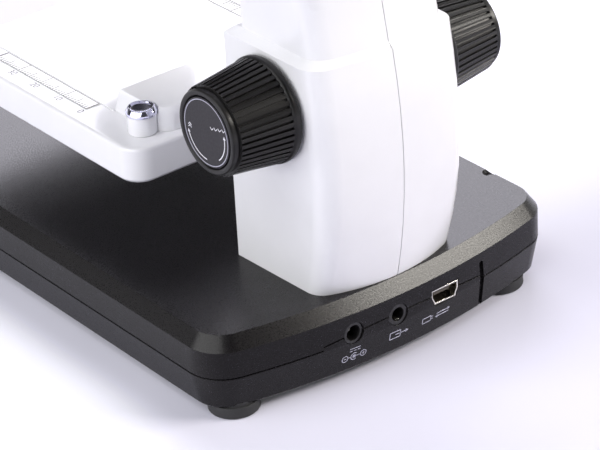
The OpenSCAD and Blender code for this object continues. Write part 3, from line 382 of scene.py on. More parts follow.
# Moulded rubber: rough and slightly grey, with a wide dim highlight.
rubber_black = moulded("moulded_black_rubber", "#29292b", "#2f2f31", 0.7, 0.6, 0.02)
print("materials so far:", len(bpy.data.materials))

# %% [markdown]
# The walls of the base have a coarser texture than its deck. They mirror less of the pale floor,
# while the deck keeps its sheen. Two materials would need a cut through the mesh at the bevel.
# Instead, the normal of the surface tells wall from deck: its upward part is 0 on a wall and 1 on
# the deck, and it sets the strength of the reflection.

# %% Duller walls on the base
WALL_SHINE, DECK_SHINE = 0.21, 0.4
WALL_UP, DECK_UP = 0.1, 0.6
grain_tree = black_grain.node_tree
surface = add(grain_tree, "NewGeometry")
normal = add(grain_tree, "SeparateXYZ", {"Vector": surface.outputs["True Normal"]})
upwards = add(grain_tree, "Math", {0: normal.outputs["Z"]}, operation="ABSOLUTE")
shine = add(grain_tree, "MapRange", {"Value": upwards.outputs["Value"], "From Min": WALL_UP,
                                     "From Max": DECK_UP, "To Min": WALL_SHINE,
                                     "To Max": DECK_SHINE})
fill(grain_tree, grain_tree.nodes["Principled BSDF"],
     {"Specular IOR Level": shine.outputs["Result"]})
print("reflection of the base, wall and deck:", WALL_SHINE, DECK_SHINE)

# %% [markdown]
# ## Metals
# A metal shows only what it mirrors, tinted by its own colour, so its tool marks make the finish.
# Grinding, rolling and turning leave fine lines, and casting and plating leave a soft unevenness.
# The same noise makes them all. It is stretched by a Mapping node, so that its grain has a size in
# millimetres along each axis: equal sizes give a cast or plated surface, and one long size gives
# lines. The anisotropy of the shader could draw lines too, but it needs tangents on every mesh.

# %% Metal finishes
MARK_DEPTH = 0.003
MARK_LOW, MARK_HIGH = 0.75, 1.25


def metal(name, code, roughness, grain, edge=0.15):
    """Metal whose tool marks have a size in millimetres along each axis."""
    material, tree, shader = finish(name, code, roughness, Metallic=1.0)
    place = add(tree, "TexCoord").outputs["Object"]
    stretched = add(tree, "Mapping", {"Vector": place, "Scale": [1 / (g * MM) for g in grain]})
    marks = add(tree, "TexNoise", {"Vector": stretched.outputs["Vector"], "Scale": 1.0,
                                   "Detail": 3.0}).outputs["Fac"]
    gloss = add(tree, "MapRange", {"Value": marks, "From Min": NOISE_LOW, "From Max": NOISE_HIGH,
                                   "To Min": roughness * MARK_LOW, "To Max": roughness * MARK_HIGH})
    corners = add(tree, "Bevel", {"Radius": edge * MM}, samples=4)
    relief = add(tree, "Bump", {"Height": marks, "Distance": MARK_DEPTH * MM, "Strength": 1.0,
                                "Normal": corners.outputs["Normal"]})
    fill(tree, shader, {"Roughness": gloss.outputs["Result"], "Normal": relief.outputs["Normal"]})
    return material


# Zinc plating on the screws and the hinge pin: a cool grey with a soft, broken gloss.
zinc_steel = metal("zinc_plated_steel", "#b9bbc0", 0.32, (1.2, 1.2, 1.2))
# Ground steel of the rods and the shaft: bright, with marks drawn out along the height.
ground_steel = metal("ground_steel", "#c6c8cc", 0.2, (0.4, 0.4, 6.0))
# Die-cast zinc of the drive's frame and carriage: a dull skin with wide, soft corners.
cast_alloy = metal("die_cast_zinc", "#a9abb0", 0.48, (0.8, 0.8, 0.8), 0.3)
# Rolled steel of the weight: long mill marks from front to rear on a dark grey.
weight_steel = metal("rolled_steel", "#8d9096", 0.45, (0.3, 9.0, 0.3))
# Machined brass of pinion, rack and bushes: warm yellow with narrow cutter marks.
brass = metal("machined_brass", "#c9a24f", 0.28, (0.3, 6.0, 6.0))
# Polished chrome of the post caps: nearly a mirror, slightly blue, with the lamps in patches.
chrome = metal("polished_chrome", "#dcdcf0", 0.06, (3.0, 3.0, 3.0))
# Gold plating on the contacts: thin bright yellow lines in the dark of the socket.
gold_plate = metal("gold_plate", "#d9b45c", 0.22, (0.5, 6.0, 0.5), 0.05)
# Nickel plating on sockets and springs: a warm silver whose thin edges catch the light.
nickel = metal("nickel_plate", "#e0ddd4", 0.2, (0.8, 0.8, 0.8), 0.08)
print("materials so far:", len(bpy.data.materials))

# %% [markdown]
# ## Boards, films and inks
# These surfaces are coats and films: a varnish on a board, a shrunk wrap on the battery, a film
# under the ruler, and ink. They could have a shader each, but all are smooth plastic skins with a
# faint texture, so they come from the same function as the mouldings, with their own grain and
# gloss.

# %% Boards, films and inks
# Solder mask: a thin green or white varnish, softly glossy, with a fine orange peel.
board_green = moulded("green_solder_mask", "#1d4a2a", "#20502e", 0.35, 0.9, 0.004)
board_white = moulded("white_solder_mask", "#e6e6e2", "#deded9", 0.4, 0.9, 0.003)
# Shrunk PVC round the cells: glossy, with the slack waves of a film that has drawn tight.
cell_wrap = moulded("shrunk_blue_pvc", "#2a3a66", "#2d3e6c", 0.3, 4.0, 0.02)
# Flat cable in PVC: pale and half dull.
cable_grey = moulded("grey_pvc_flat_cable", "#c9c9cc", "#bdbdc1", 0.45, 1.2, 0.004)
# Polyester film under the ruler: whiter and a little duller than the tray that it sits on.
strip_white = moulded("white_polyester_film", "#f0f0f1", "#ececee", 0.3, 1.5, 0.002)
# A screen that is switched off: almost black, with a hint of blue.
screen_dark = moulded("unlit_screen_panel", "#10141a", "#12171e", 0.25, 3.0, 0.001)
# Resin with phosphor over the ring lights: a pale yellow even when they are off.
led_resin = moulded("phosphor_resin", "#f4efc4", "#f7f3d4", 0.2, 1.0, 0.002)
# Inks. White is dull and opaque, silver has metal flakes and shines softly, grey is thin and fine.
ink_white = moulded("white_screen_ink", "#e9e9ee", "#dfdfe6", 0.5, 0.4, 0.002)
ink_silver = moulded("silver_flake_ink", "#b9b9c6", "#adadba", 0.35, 0.4, 0.002, Metallic=0.6)
ink_grey = moulded("grey_pad_ink", "#5e5e63", "#55555a", 0.5, 0.4, 0.002)
print("materials so far:", len(bpy.data.materials))

# %% [markdown]
# ## Clear materials
# Light passes through the front lens, the frosted ring over the lights and the window of the
# screen. Transparency could be faked by mixing in a Transparent shader, but then nothing bends.
# Transmission with the index of refraction of the real material bends the light as glass and
# acrylic do.

# %% Glass and acrylic
GLASS_PATCH, GLASS_HAZE = 3.0, 0.02


def clear(name, code, roughness, ior, **sockets):
    """Glass or clear plastic, with a faint unevenness in its gloss."""
    material, tree, shader = finish(name, code, roughness, Transmission_Weight=1.0, IOR=ior,
                                    **sockets)
    haze = add(tree, "TexNoise", {"Vector": add(tree, "TexCoord").outputs["Object"],
                                  "Scale": 1 / (GLASS_PATCH * MM), "Detail": 2.0, "Roughness": 0.5})
    gloss = add(tree, "MapRange", {"Value": haze.outputs["Fac"], "From Min": NOISE_LOW,
                                   "From Max": NOISE_HIGH, "To Min": roughness,
                                   "To Max": roughness + GLASS_HAZE})
    fill(tree, shader, {"Roughness": gloss.outputs["Result"]})
    return material


# Optical glass with a coating against glare, which leaves a violet gleam on the lens.
lens_glass = clear("coated_optical_glass", "#e6f0fa", 0.0, 1.52, Coat_Weight=0.4,
                   Coat_Tint=linear("#7a6cff"))
# Frosted acrylic: it blurs the lights behind it into one ring.
frosted = clear("frosted_acrylic", "#f4f6f8", 0.45, 1.45)
# Tinted acrylic over the screen: clear enough to show the panel, dark enough to hide its edge.
window_glass = clear("tinted_acrylic", "#5a6270", 0.02, 1.5)
print("materials so far:", len(bpy.data.materials))

# %% [markdown]
# ## Finishes on the CAD nodes
# The record names one finish slot for each node. Every node could be dressed by hand, but a table
# from slot to material dresses them all in one loop, and no node is forgotten. A node that is
# modelled again below already has its right surface, and one that isn't, such as a screw or a
# board inside, is finished here for good.

# %% Dress the nodes
SLOT_FINISH = {
    "white_shell": white_gloss, "black_shell": black_grain, "knob_black": knob_satin,
    "knob_disc": disc_grey, "rubber_foot": rubber_black, "steel_weight": weight_steel,
    "screw_steel": zinc_steel, "ground_steel": ground_steel, "die_cast": cast_alloy,
    "brass": brass, "chrome_cap": chrome, "socket_metal": nickel, "socket_black": socket_black,
    "circuit_board": board_green, "battery": cell_wrap, "ribbon": cable_grey,
    "electronic_part": socket_black, "lens_black": lens_black, "lens_glass": lens_glass,
    "led_board": board_white, "led": led_resin, "diffuser": frosted, "scale_print": strip_white,
    "screen_bezel": bezel_black, "screen_panel": screen_dark, "screen_window": window_glass,
    "button_grey": key_grey, "wheel_black": knob_satin,
}
SLOT_OF = {row["node"]: row["material_slot"] for row in frame["record"]["subparts"]}
BODY_OF = {node: body for body, nodes in frame["record"]["behaviour"]["bodies"].items()
           for node in nodes}
NODE_SMOOTH_TURN = 30


def dress(obj, material):
    """Gives obj one material all over."""
    obj.data.materials.clear()
    obj.data.materials.append(material)
    return obj


for name, node in frame["nodes"].items():
    dress(node, SLOT_FINISH[SLOT_OF[name]])
    only(node)
    bpy.ops.object.shade_smooth_by_angle(angle=math.radians(NODE_SMOOTH_TURN))
print("nodes dressed:", len(frame["nodes"]))

# %% [markdown]
# Each new piece ends in the same four steps: its place goes into its mesh, it gets its material,
# it takes the place of the CAD node that it stands for, and it rides on that node's body. A knob
# that rode on the wrong body would stay behind when the stage moves.

# %% Seat a finished piece
def seat_piece(piece, body, slot, material, *replaced):
    """Dresses a finished piece, lets it ride on its body and hides the nodes that it stands for."""
    settle(piece)
    dress(piece, material)
    if replaced:
        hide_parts(*replaced)
    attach(piece, body)
    return piece


# %% [markdown]
# ## Moulded shells with soft edges
# No moulded edge is perfectly sharp: it has a radius of a few tenths of a millimetre, and that
# radius catches a thin line of light. A shell could be modelled again from a box, but then its
# bosses, slots and bores would have to be measured again as well. A copy of the CAD shell has them
# already. The copy is merged from loose triangles, its flat faces are joined, and a bevel rounds
# its sharp edges. The two column halves are each drawn back by a tenth of a millimetre from the
# middle plane, so the seam between them is a real groove between two rounded lips.

# %% Copy and round a shell
CAD_MERGE, FLAT_TURN, ON_PLANE = 0.004, 0.8, 0.01


def soft_shell(node, edge, parting=0):
    """A copy of a CAD node with its sharp edges rounded by edge millimetres.

    Its face on the middle plane is first drawn back by parting millimetres."""
    only(frame["nodes"][node])
    bpy.ops.object.duplicate()
    piece = new_piece(node + "_soft")
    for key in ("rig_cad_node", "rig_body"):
        if key in piece:
            del piece[key]
    piece.parent = None
    open_whole(piece, "VERT")
    bpy.ops.mesh.remove_doubles(threshold=CAD_MERGE * MM)
    bpy.ops.mesh.dissolve_limited(angle_limit=math.radians(FLAT_TURN))
    close()
    if parting:
        open_part(piece, "VERT", lambda vertex: abs(vertex.co.x) < ON_PLANE * MM)
        bpy.ops.transform.translate(value=(parting * MM, 0, 0))
        close()
    round_edges(piece, edge)
    slot = SLOT_OF[node]
    print(node, "faces after rounding:", len(piece.data.polygons))
    return seat_piece(piece, BODY_OF[node], slot, SLOT_FINISH[slot], node)


# %% Round the shells
SHELL_EDGES = {"base_top_shell": 0.25, "base_bottom_shell": 0.25, "head_top_cover": 0.3,
               "stage_tray": 0.3, "stage_bracket": 0.3, "lid_cover": 0.3, "lid_bezel": 0.3,
               "clip_posts": 0.3, "usb_socket": 0.08, "av_jack": 0.3, "dc_jack": 0.3,
               "lens_housing": 0.3, "leds": 0.3, "brightness_wheel": 0.12}
COLUMN_EDGE, PARTING = 0.22, 0.1
shells = {node: soft_shell(node, edge) for node, edge in SHELL_EDGES.items()}
for node, parting in (("column_right_shell", PARTING), ("column_left_shell", -PARTING)):
    shells[node] = soft_shell(node, COLUMN_EDGE, parting)
print("shells rounded:", len(shells))

# %% [markdown]
# ## Ribbed focus knobs
# Each knob is a cone that narrows towards its face, with long ribs for grip between a smooth
# flange and a smooth rim. Ribs could be made as 46 separate bars round the cone, but they would
# meet it at a hard line. So the cone starts as a primitive with five faces for each rib. Two of
# every five are pushed in together to make the groove, and a bevel rounds the long edges of the
# ribs between them. The rim is a little narrower than the tip of the cone, so the ends of the
# ribs stand out round it, over a narrow shadow.

# %% Measure the knob
knob_low, knob_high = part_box("knob_right")
KNOB_AXIS = ((knob_low.y + knob_high.y) / 2, (knob_low.z + knob_high.z) / 2)
KNOB_START, KNOB_END = knob_low.x, knob_high.x
RIBS, FACES_PER_RIB, GROOVE_FACES = 46, 5, 2
CONE_FACES = RIBS * FACES_PER_RIB
FLANGE_R, RIB_R, TIP_R, FACE_R = 13.1 * MM, 12.75 * MM, 10.95 * MM, 10.3 * MM
FLANGE_T, RIM_T, RIB_DEPTH = 2.4 * MM, 2.0 * MM, 0.75 * MM
INTO_FLANGE, INTO_RIM = 0.5 * MM, 0.1 * MM
RIB_EDGE, KNOB_TURN = 0.2, 40
print("knob length in mm:", round((KNOB_END - KNOB_START) / MM, 2))

# %% The ribbed cone
def along_x(x):
    """A place on the knob's axis."""
    return (x, *KNOB_AXIS)


def keep_grooves(obj):
    """Of a cone that is all selected, keeps the side faces that lie in a groove, by their angle."""
    bpy.ops.object.mode_set(mode="OBJECT")
    for face in obj.data.polygons:
        angle = math.atan2(face.center.z - KNOB_AXIS[1], face.center.y - KNOB_AXIS[0])
        number = int((angle / (2 * math.pi) + 1) * CONE_FACES) % CONE_FACES
        face.select = abs(face.normal.x) < 0.5 and number % FACES_PER_RIB < GROOVE_FACES
    bpy.ops.object.mode_set(mode="EDIT")


cone_start, cone_end = KNOB_START + FLANGE_T - INTO_FLANGE, KNOB_END - RIM_T + INTO_RIM
bpy.ops.object.select_all(action="DESELECT")
bpy.ops.mesh.primitive_cone_add(
    vertices=CONE_FACES, radius1=RIB_R, radius2=TIP_R, depth=cone_end - cone_start,
    location=along_x((cone_start + cone_end) / 2), rotation=(0, math.pi / 2, 0))
ribbed = settle(new_piece("knob_cone"))
# The ribs' edges stay selected beside the groove faces, so the extrusion drops a thin wall from
# each of them too. The walls end inside the moulding, where nothing shows them. The bevel passes
# over an edge with three faces, and so the ribs keep sharp ends.
open_whole(ribbed, "FACE")
keep_grooves(ribbed)
bpy.ops.mesh.extrude_region_shrink_fatten(
    TRANSFORM_OT_shrink_fatten={"value": -RIB_DEPTH})
close()
round_edges(ribbed, RIB_EDGE, turn=KNOB_TURN)
print("cone faces:", len(ribbed.data.polygons))

# %% [markdown]
# The flange and the rim are plain rings of the same moulding. They could be spun from a profile,
# but a cylinder is already their rough form. The rim's face is inset and pushed in to make the
# seat for the printed disc, and the outer edges get a wide bevel, because a thumb rubs over them.

# %% Flange and rim
DISC_SIDES = 128
FLANGE_EDGE, RIM_EDGE = 0.9, 0.5
SEAT_WALL, SEAT_DEPTH, RIM_BACK = 1.5 * MM, 1.1 * MM, 0.4 * MM
AT_END = 0.05 * MM


def disc_on_axis(name, x0, x1, radius):
    """A cylinder on the knob's axis between two places."""
    bpy.ops.object.select_all(action="DESELECT")
    bpy.ops.mesh.primitive_cylinder_add(vertices=DISC_SIDES, radius=radius, depth=x1 - x0,
                                        location=along_x((x0 + x1) / 2),
                                        rotation=(0, math.pi / 2, 0))
    return settle(new_piece(name))


flange = disc_on_axis("knob_flange", KNOB_START, KNOB_START + FLANGE_T, FLANGE_R)
round_edges(flange, FLANGE_EDGE, 5, KNOB_TURN)

rim = disc_on_axis("knob_rim", KNOB_END - RIM_T - RIM_BACK, KNOB_END, FACE_R)
open_part(rim, "FACE", lambda face: abs(face.center.x - KNOB_END) < AT_END)
bpy.ops.mesh.inset(thickness=SEAT_WALL)
bpy.ops.mesh.extrude_region_move(TRANSFORM_OT_translate={"value": (-SEAT_DEPTH, 0, 0)})
close()
round_edges(rim, RIM_EDGE, 4, KNOB_TURN, flat=False)
print("flange and rim faces:", len(flange.data.polygons), len(rim.data.polygons))

# %% [markdown]
# The left knob is the right one in a mirror. A mirror turns a mesh inside out, so its faces are
# made to point outwards again. Both knobs sit on one shaft, and ride on the body of the focus
# drive.

# %% Right and left knobs
def mirrored(piece, name):
    """A copy of a piece on the other side of the middle plane."""
    only(piece)
    bpy.ops.object.duplicate()
    copy = new_piece(name)
    bpy.ops.transform.mirror(constraint_axis=(True, False, False), orient_type="GLOBAL",
                             center_override=(0, 0, 0))
    settle(copy)
    open_whole(copy, "FACE")
    bpy.ops.mesh.normals_make_consistent(inside=False)
    close()
    return copy


knob_right = join([ribbed, flange, rim], "knob_right_ribbed")
knob_left = mirrored(knob_right, "knob_left_ribbed")
seat_piece(knob_right, "focus_drive", "knob_black", knob_satin, "knob_right")
seat_piece(knob_left, "focus_drive", "knob_black", knob_satin, "knob_left")
print("left knob from x", round(min(v.co.x for v in knob_left.data.vertices) / MM, 2), "mm")

# %% [markdown]
# ## Printed marks
# Marks such as rings, arrows, lines and numbers are thin layers of ink. They could be painted in a
# texture, which blurs when seen from near. A mesh stays sharp at any distance and has a real
# thickness. Each mark is drawn flat round the origin, in millimetres, from rings, bars and
# triangles.

# %% Flat shapes
def drawn(name):
    """Brings a primitive that was just added from millimetres to metres."""
    piece = new_piece(name)
    piece.scale = [MM * k for k in piece.scale]
    piece.location = [MM * k for k in piece.location]
    return settle(piece)


def ring_mark(radius, width, start=0, end=360, centre=(0, 0), steps=120):
    """A flat ring, or the part of it between two angles in degrees."""
    inner, outer = radius - width / 2, radius + width / 2
    bpy.ops.object.select_all(action="DESELECT")
    bpy.ops.mesh.primitive_circle_add(vertices=steps, radius=inner, location=(*centre, 0))
    piece = drawn("ring")
    open_whole(piece, "EDGE")
    bpy.ops.mesh.extrude_edges_move()
    bpy.ops.transform.resize(value=(outer / inner, outer / inner, 1),
                             center_override=[c * MM for c in (*centre, 0)])
    close()

    def beyond(face):
        spot = face.center / MM
        angle = math.degrees(math.atan2(spot.y - centre[1], spot.x - centre[0]))
        return (angle - start) % 360 > end - start

    if end - start < 360:
        open_part(piece, "FACE", beyond)
        bpy.ops.mesh.delete(type="FACE")
        close()
    return piece


def bar_mark(start, end, width):
    """A flat bar from one point to another."""
    run = Vector((end[0] - start[0], end[1] - start[1]))
    bpy.ops.object.select_all(action="DESELECT")
    bpy.ops.mesh.primitive_plane_add(
        size=1, location=((start[0] + end[0]) / 2, (start[1] + end[1]) / 2, 0),
        rotation=(0, 0, math.atan2(run.y, run.x)))
    bpy.context.active_object.scale = (run.length, width, 1)
    return drawn("bar")


def dot_mark(centre, radius, corners=24, turn=0):
    """A filled disc, or with three corners an arrow head that points along turn."""
    bpy.ops.object.select_all(action="DESELECT")
    bpy.ops.mesh.primitive_circle_add(vertices=corners, radius=radius, fill_type="TRIFAN",
                                      location=(*centre, 0),
                                      rotation=(0, 0, math.radians(turn - 90)))
    return drawn("dot")


# %% [markdown]
# The flat drawing is then turned and moved onto its surface and gets the thickness of a layer of
# ink, half of it in the surface, so that no gap shows under it. A mark on a bowed wall would sink
# in at its middle. So it is first cut finely, which lets it bend, and pressed onto the wall with a
# Shrinkwrap modifier.

# %% Placing a drawing on a surface
INK, BEND_CUTS = 0.02, 3


def lay(pieces, name, origin, across, up, body, slot, material, ink=INK, onto=None, along="y"):
    """Joins flat shapes, lays them at origin with their axes along across and up, and inks them."""
    mark = join(pieces, name)
    across, up = Vector(across).normalized(), Vector(up).normalized()
    facing = Matrix((across, up, across.cross(up))).transposed().to_4x4()
    mark.matrix_world = Matrix.Translation(Vector(origin)) @ facing
    settle(mark)
    if onto:
        open_whole(mark, "FACE")
        bpy.ops.mesh.subdivide(number_cuts=BEND_CUTS)
        close()
        use(mark, "SHRINKWRAP", target=onto, wrap_method="PROJECT", use_project_y=along == "y",
            use_project_z=along == "z", use_negative_direction=True,
            use_positive_direction=False, offset=0.0)
    use(mark, "SOLIDIFY", thickness=2 * ink * MM, offset=0.0)
    return seat_piece(mark, body, slot, material)


# %% [markdown]
# ## Knob discs
# A printed plastic disc closes each knob. It could be a circle on the knob's face, but the real
# one is a part of its own that was pressed in, and a fine dark gap stays round it. So it is a low
# cylinder with a rounded edge that sits in the seat of the rim.

# %% The discs
SIDE_NAME = {1: "right", -1: "left"}
DISC_EDGE = 0.15
disc_low, disc_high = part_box("knob_disc_right")
DISC_R = (disc_high.y - disc_low.y) / 2
disc = disc_on_axis("knob_disc_right_printed", disc_low.x, disc_high.x, DISC_R)
round_edges(disc, DISC_EDGE, turn=KNOB_TURN)
disc_left = mirrored(disc, "knob_disc_left_printed")
seat_piece(disc, "focus_drive", "knob_disc", disc_grey, "knob_disc_right")
seat_piece(disc_left, "focus_drive", "knob_disc", disc_grey, "knob_disc_left")
print("disc radius in mm:", round(DISC_R / MM, 2))

# %% [markdown]
# A silver ring runs near the edge of the disc, and two arrows show which way to turn, with plain
# chevrons for up and down. The words that such a disc often bears are left off, and the chevrons
# need none. All of it is ink, in the disc's own plane, so it turns with the knob.

# %% Ring, arrows and chevrons
RING_R, RING_LINE = 8.05, 0.22
ARROW_R, ARROW_LINE, HEAD_R = 6.9, 0.26, 0.55
ARROWS = ((-164, -94), (-51, 6))
HEADS = ((-165, 105), (8, 98))
CHEVRON_LINE, UP_SIZE, DOWN_SIZE = 0.2, 0.8, 0.85
UP_PLACES = ((-6.1, 0.1), (-6.1, -0.5))
DOWN_PLACES = [(2.3 + 1.45 * k, 2.0 + 0.3 * k) for k in range(4)]


def chevron(centre, size, turn):
    """Two short bars that meet in a point along turn, in degrees."""
    tip = Vector(centre) + Vector(on_circle(size / 2, turn))
    return [bar_mark(tip, tip + Vector(on_circle(size, turn + side * 135)), CHEVRON_LINE)
            for side in (-1, 1)]


def disc_marks(side):
    """The arrows with their chevrons, and the ring, of one disc."""
    origin = (side * disc_high.x, *KNOB_AXIS)
    parts = [ring_mark(ARROW_R, ARROW_LINE, start, end) for start, end in ARROWS]
    parts += [dot_mark(on_circle(ARROW_R, angle), HEAD_R, 3, turn) for angle, turn in HEADS]
    for centre in UP_PLACES:
        parts += chevron(centre, UP_SIZE, 90)
    for centre in DOWN_PLACES:
        parts += chevron(centre, DOWN_SIZE, -90)
    lay(parts, "knob_arrows_" + SIDE_NAME[side], origin, (0, side, 0), (0, 0, 1), "focus_drive",
        "knob_disc", ink_white)
    lay([ring_mark(RING_R, RING_LINE)], "knob_ring_" + SIDE_NAME[side], origin, (0, side, 0),
        (0, 0, 1), "focus_drive", "knob_disc", ink_silver)


for side in (-1, 1):
    disc_marks(side)
print("ring radius in mm:", RING_R)

# %% [markdown]
# ## Post caps
# A bright plated cap sits on each white post. It was turned: a short skirt, a wide bevel that
# mirrors the lamps in patches, a narrow rim and a shallow dish. A bevelled cylinder would have the
# bevel but no dish, so the outline is drawn, spun once and copied to both posts.

# %% Caps
cap_low, cap_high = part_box("post_caps")
CAP_R = (cap_high.y - cap_low.y) / 2 / MM
CAP_H = (cap_high.z - cap_low.z) / MM
CAP_Y = (cap_low.y + cap_high.y) / 2
CAP_FOOT_R, CAP_SHOULDER_R, CAP_RIM_R = 0.3, 0.25, 0.16
CAP_BEVEL_H, CAP_RIM_IN = 1.12, 0.72
CAP_DISH_R, CAP_DISH_FLOOR, CAP_DISH_RISE = CAP_R - 0.95, CAP_H - 0.75, 0.62

cap_profile = [(0, 0), (CAP_R - 0.55, 0)]
cap_profile += arc((CAP_R - CAP_FOOT_R, 0.35), CAP_FOOT_R, -60, 0, 4)
cap_profile += [(CAP_R, CAP_H - CAP_BEVEL_H)]
cap_profile += arc((CAP_R - CAP_SHOULDER_R, CAP_H - CAP_BEVEL_H), CAP_SHOULDER_R, 10, 40, 3)
cap_profile += arc((CAP_R - CAP_RIM_IN, CAP_H - CAP_RIM_R), CAP_RIM_R, 40, 120, 4)
for angle in range(15, 90, 15):
    across, up = on_circle(1, angle)
    cap_profile += [(CAP_DISH_R * across, CAP_DISH_FLOOR + CAP_DISH_RISE * (1 - up))]
cap_profile += [(0, CAP_DISH_FLOOR)]

cap = turned("post_cap", cap_profile, 96, 28)
caps = join([copy_to(cap, "post_cap_right", (cap_high.x - CAP_R * MM, CAP_Y, cap_low.z)),
             copy_to(cap, "post_cap_left", (cap_low.x + CAP_R * MM, CAP_Y, cap_low.z))],
            "post_caps_turned")
discard(cap)
seat_piece(caps, BODY_OF["post_caps"], "chrome_cap", chrome, "post_caps")
print("cap radius and height in mm:", round(CAP_R, 2), round(CAP_H, 2))

# %% [markdown]
# ## Feet
# The feet are moulded rubber: a hollow round the screw, a soft round rim where they meet the
# table, and a waist that is drawn in a little. Those soft lines make them read as rubber and not
# as metal. A cylinder has none of them, so the feet are spun from a profile too.

# %% Rubber feet
feet_low, feet_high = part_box("rubber_feet")
FOOT_R, FOOT_EDGE = 6.3, 0.7
foot_places = [(x, y) for x in (feet_low.x / MM + FOOT_R, feet_high.x / MM - FOOT_R)
               for y in (feet_low.y / MM + FOOT_R, feet_high.y / MM - FOOT_R)]
screw_hollow = [(0, 0.35), (2.6, 0.35), (2.9, 0.05)]
soft_rim = arc((FOOT_R - FOOT_EDGE, FOOT_EDGE), FOOT_EDGE, -85, 0, 5)
waist = [(FOOT_R - 0.12, 1.6), (FOOT_R - 0.02, 2.6), (FOOT_R - 0.15, 3.0)]
neck = [(FOOT_R - 0.62, 3.0), (FOOT_R - 0.62, 4.0), (0, 4.0)]
foot = turned("rubber_foot", screw_hollow + soft_rim + waist + neck, 72, 40)
feet = join([copy_to(foot, "foot_%d" % k, (x * MM, y * MM, 0))
             for k, (x, y) in enumerate(foot_places)], "rubber_feet_turned")
discard(foot)
seat_piece(feet, BODY_OF["rubber_feet"], "rubber_foot", rubber_black, "rubber_feet")
print("feet at:", [tuple(round(c, 1) for c in spot) for spot in foot_places])

# %% [markdown]
# ## Ruler on the stage
# A scale runs along each side of the stage: a thin grey frame, a tick for every millimetre and a
# number for every centimetre, counted from the rear. Forty ticks could be placed in a loop. An
# Array modifier does the same as one step by hand would: one tick of each length is drawn, and the
# modifier repeats it at its real spacing.

# %% Measure the scale
strip_low, strip_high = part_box("scale_strips")
SCALE_REAR, SCALE_LENGTH = strip_high.y / MM - 0.2, 40
SCALE_OUT, SCALE_IN = strip_high.x / MM - 0.15, 27.95
RULER_LINE, FRAME_REAR, FRAME_FRONT = 0.2, 0.08, 0.3
TICK, HALF_TICK = 1.3, 2.6
NUMBER_X, NUMBER_BACK, NUMBER_H = SCALE_OUT + 1.6, 0.16, 2.0
FONT_PER_DIGIT = 1.38
print("scale from y", round(SCALE_REAR, 1), "to", round(SCALE_REAR - SCALE_LENGTH, 1), "mm")

# %% Ticks, frame and numbers
def ticks(side, length, step):
    """Ticks that run inwards from the outer line, step millimetres apart."""
    tick = bar_mark((side * SCALE_OUT, SCALE_REAR), (side * (SCALE_OUT - length), SCALE_REAR),
                    RULER_LINE)
    return use(tick, "ARRAY", count=SCALE_LENGTH // step + 1, use_relative_offset=False,
               use_constant_offset=True, constant_offset_displace=(0, -step * MM, 0))


def number_mark(number, centre, turn):
    """A plain number as a flat mesh, centred on a place and turned by turn degrees."""
    bpy.ops.object.select_all(action="DESELECT")
    bpy.ops.object.text_add(rotation=(0, 0, math.radians(turn)), location=(*centre, 0))
    digits = bpy.context.active_object
    digits.data.body = str(number)
    digits.data.size = NUMBER_H * FONT_PER_DIGIT
    digits.data.align_x, digits.data.align_y = "CENTER", "CENTER"
    bpy.ops.object.convert(target="MESH")
    return drawn("number")


def scale_marks(side):
    """All the marks of the scale on one side, read from outside the stage."""
    name, body = "scale_" + SIDE_NAME[side], BODY_OF["scale_strips"]
    rear, front = SCALE_REAR + FRAME_REAR, SCALE_REAR - SCALE_LENGTH - FRAME_FRONT
    parts = [bar_mark((side * x, rear), (side * x, front), RULER_LINE)
             for x in (SCALE_OUT, SCALE_IN)]
    parts += [bar_mark((side * SCALE_OUT, y), (side * SCALE_IN, y), RULER_LINE)
              for y in (rear, front)]
    parts += [ticks(side, TICK, 1), ticks(side, HALF_TICK, 5),
              ticks(side, SCALE_OUT - SCALE_IN, 10)]
    lay(parts, name, (0, 0, strip_high.z), (1, 0, 0), (0, 1, 0), body, "scale_print", ink_grey)
    numbers = [number_mark(n, (side * NUMBER_X, SCALE_REAR - NUMBER_BACK - n), side * 90)
               for n in range(0, SCALE_LENGTH + 1, 10)]
    lay(numbers, name + "_numbers", (0, 0, strip_low.z), (1, 0, 0), (0, 1, 0), body,
        "scale_print", ink_grey)


for side in (1, -1):
    scale_marks(side)
print("ticks on each side:", SCALE_LENGTH + 1)

# %% [markdown]
# ## Contacts in the data socket
# The data socket is a bent nickel shell round a brown tongue with five gilded contacts. From
# outside they are thin bright lines in a dark hole. A striped material would give the lines but no
# edges, so one contact is modelled as a thin bar with rounded edges and copied along the tongue.

# %% Contacts
tongue_low, tongue_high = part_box("usb_contact_block")
CONTACTS, CONTACT_PITCH, CONTACT_EDGE = 5, 0.82, 0.06
CONTACT_SIZE = Vector((0.36, 5.2, 0.16)) * MM
CONTACT_BACK, CONTACT_RISE = 2.6 * MM, 0.04 * MM
bpy.ops.object.select_all(action="DESELECT")
bpy.ops.mesh.primitive_cube_add(size=1)
bpy.context.active_object.scale = CONTACT_SIZE
contact = round_edges(settle(new_piece("contact")), CONTACT_EDGE, turn=40)
contact_copies = []
for k in range(CONTACTS):
    contact_x = (tongue_low.x + tongue_high.x) / 2 + (k - CONTACTS // 2) * CONTACT_PITCH * MM
    contact_copies.append(copy_to(contact, "contact_%d" % k, (
        contact_x, tongue_high.y - CONTACT_BACK, tongue_high.z + CONTACT_RISE)))
contacts = join(contact_copies, "data_contacts")
discard(contact)
dress(frame["nodes"]["usb_contact_block"], tongue_brown)
seat_piece(contacts, "stand", "socket_metal", gold_plate)
print("contacts:", CONTACTS, "at", CONTACT_PITCH, "mm")

# %% [markdown]
# ## Springs in the round sockets
# Each round socket carries a spring leaf in the floor of its bore, which presses on the plug. It
# shows as one small bright line inside. A bent leaf could be swept along a curve. A narrow grid is
# simpler: its points are lifted in a low arch, highest in the middle, and Solidify gives the sheet
# its thickness.

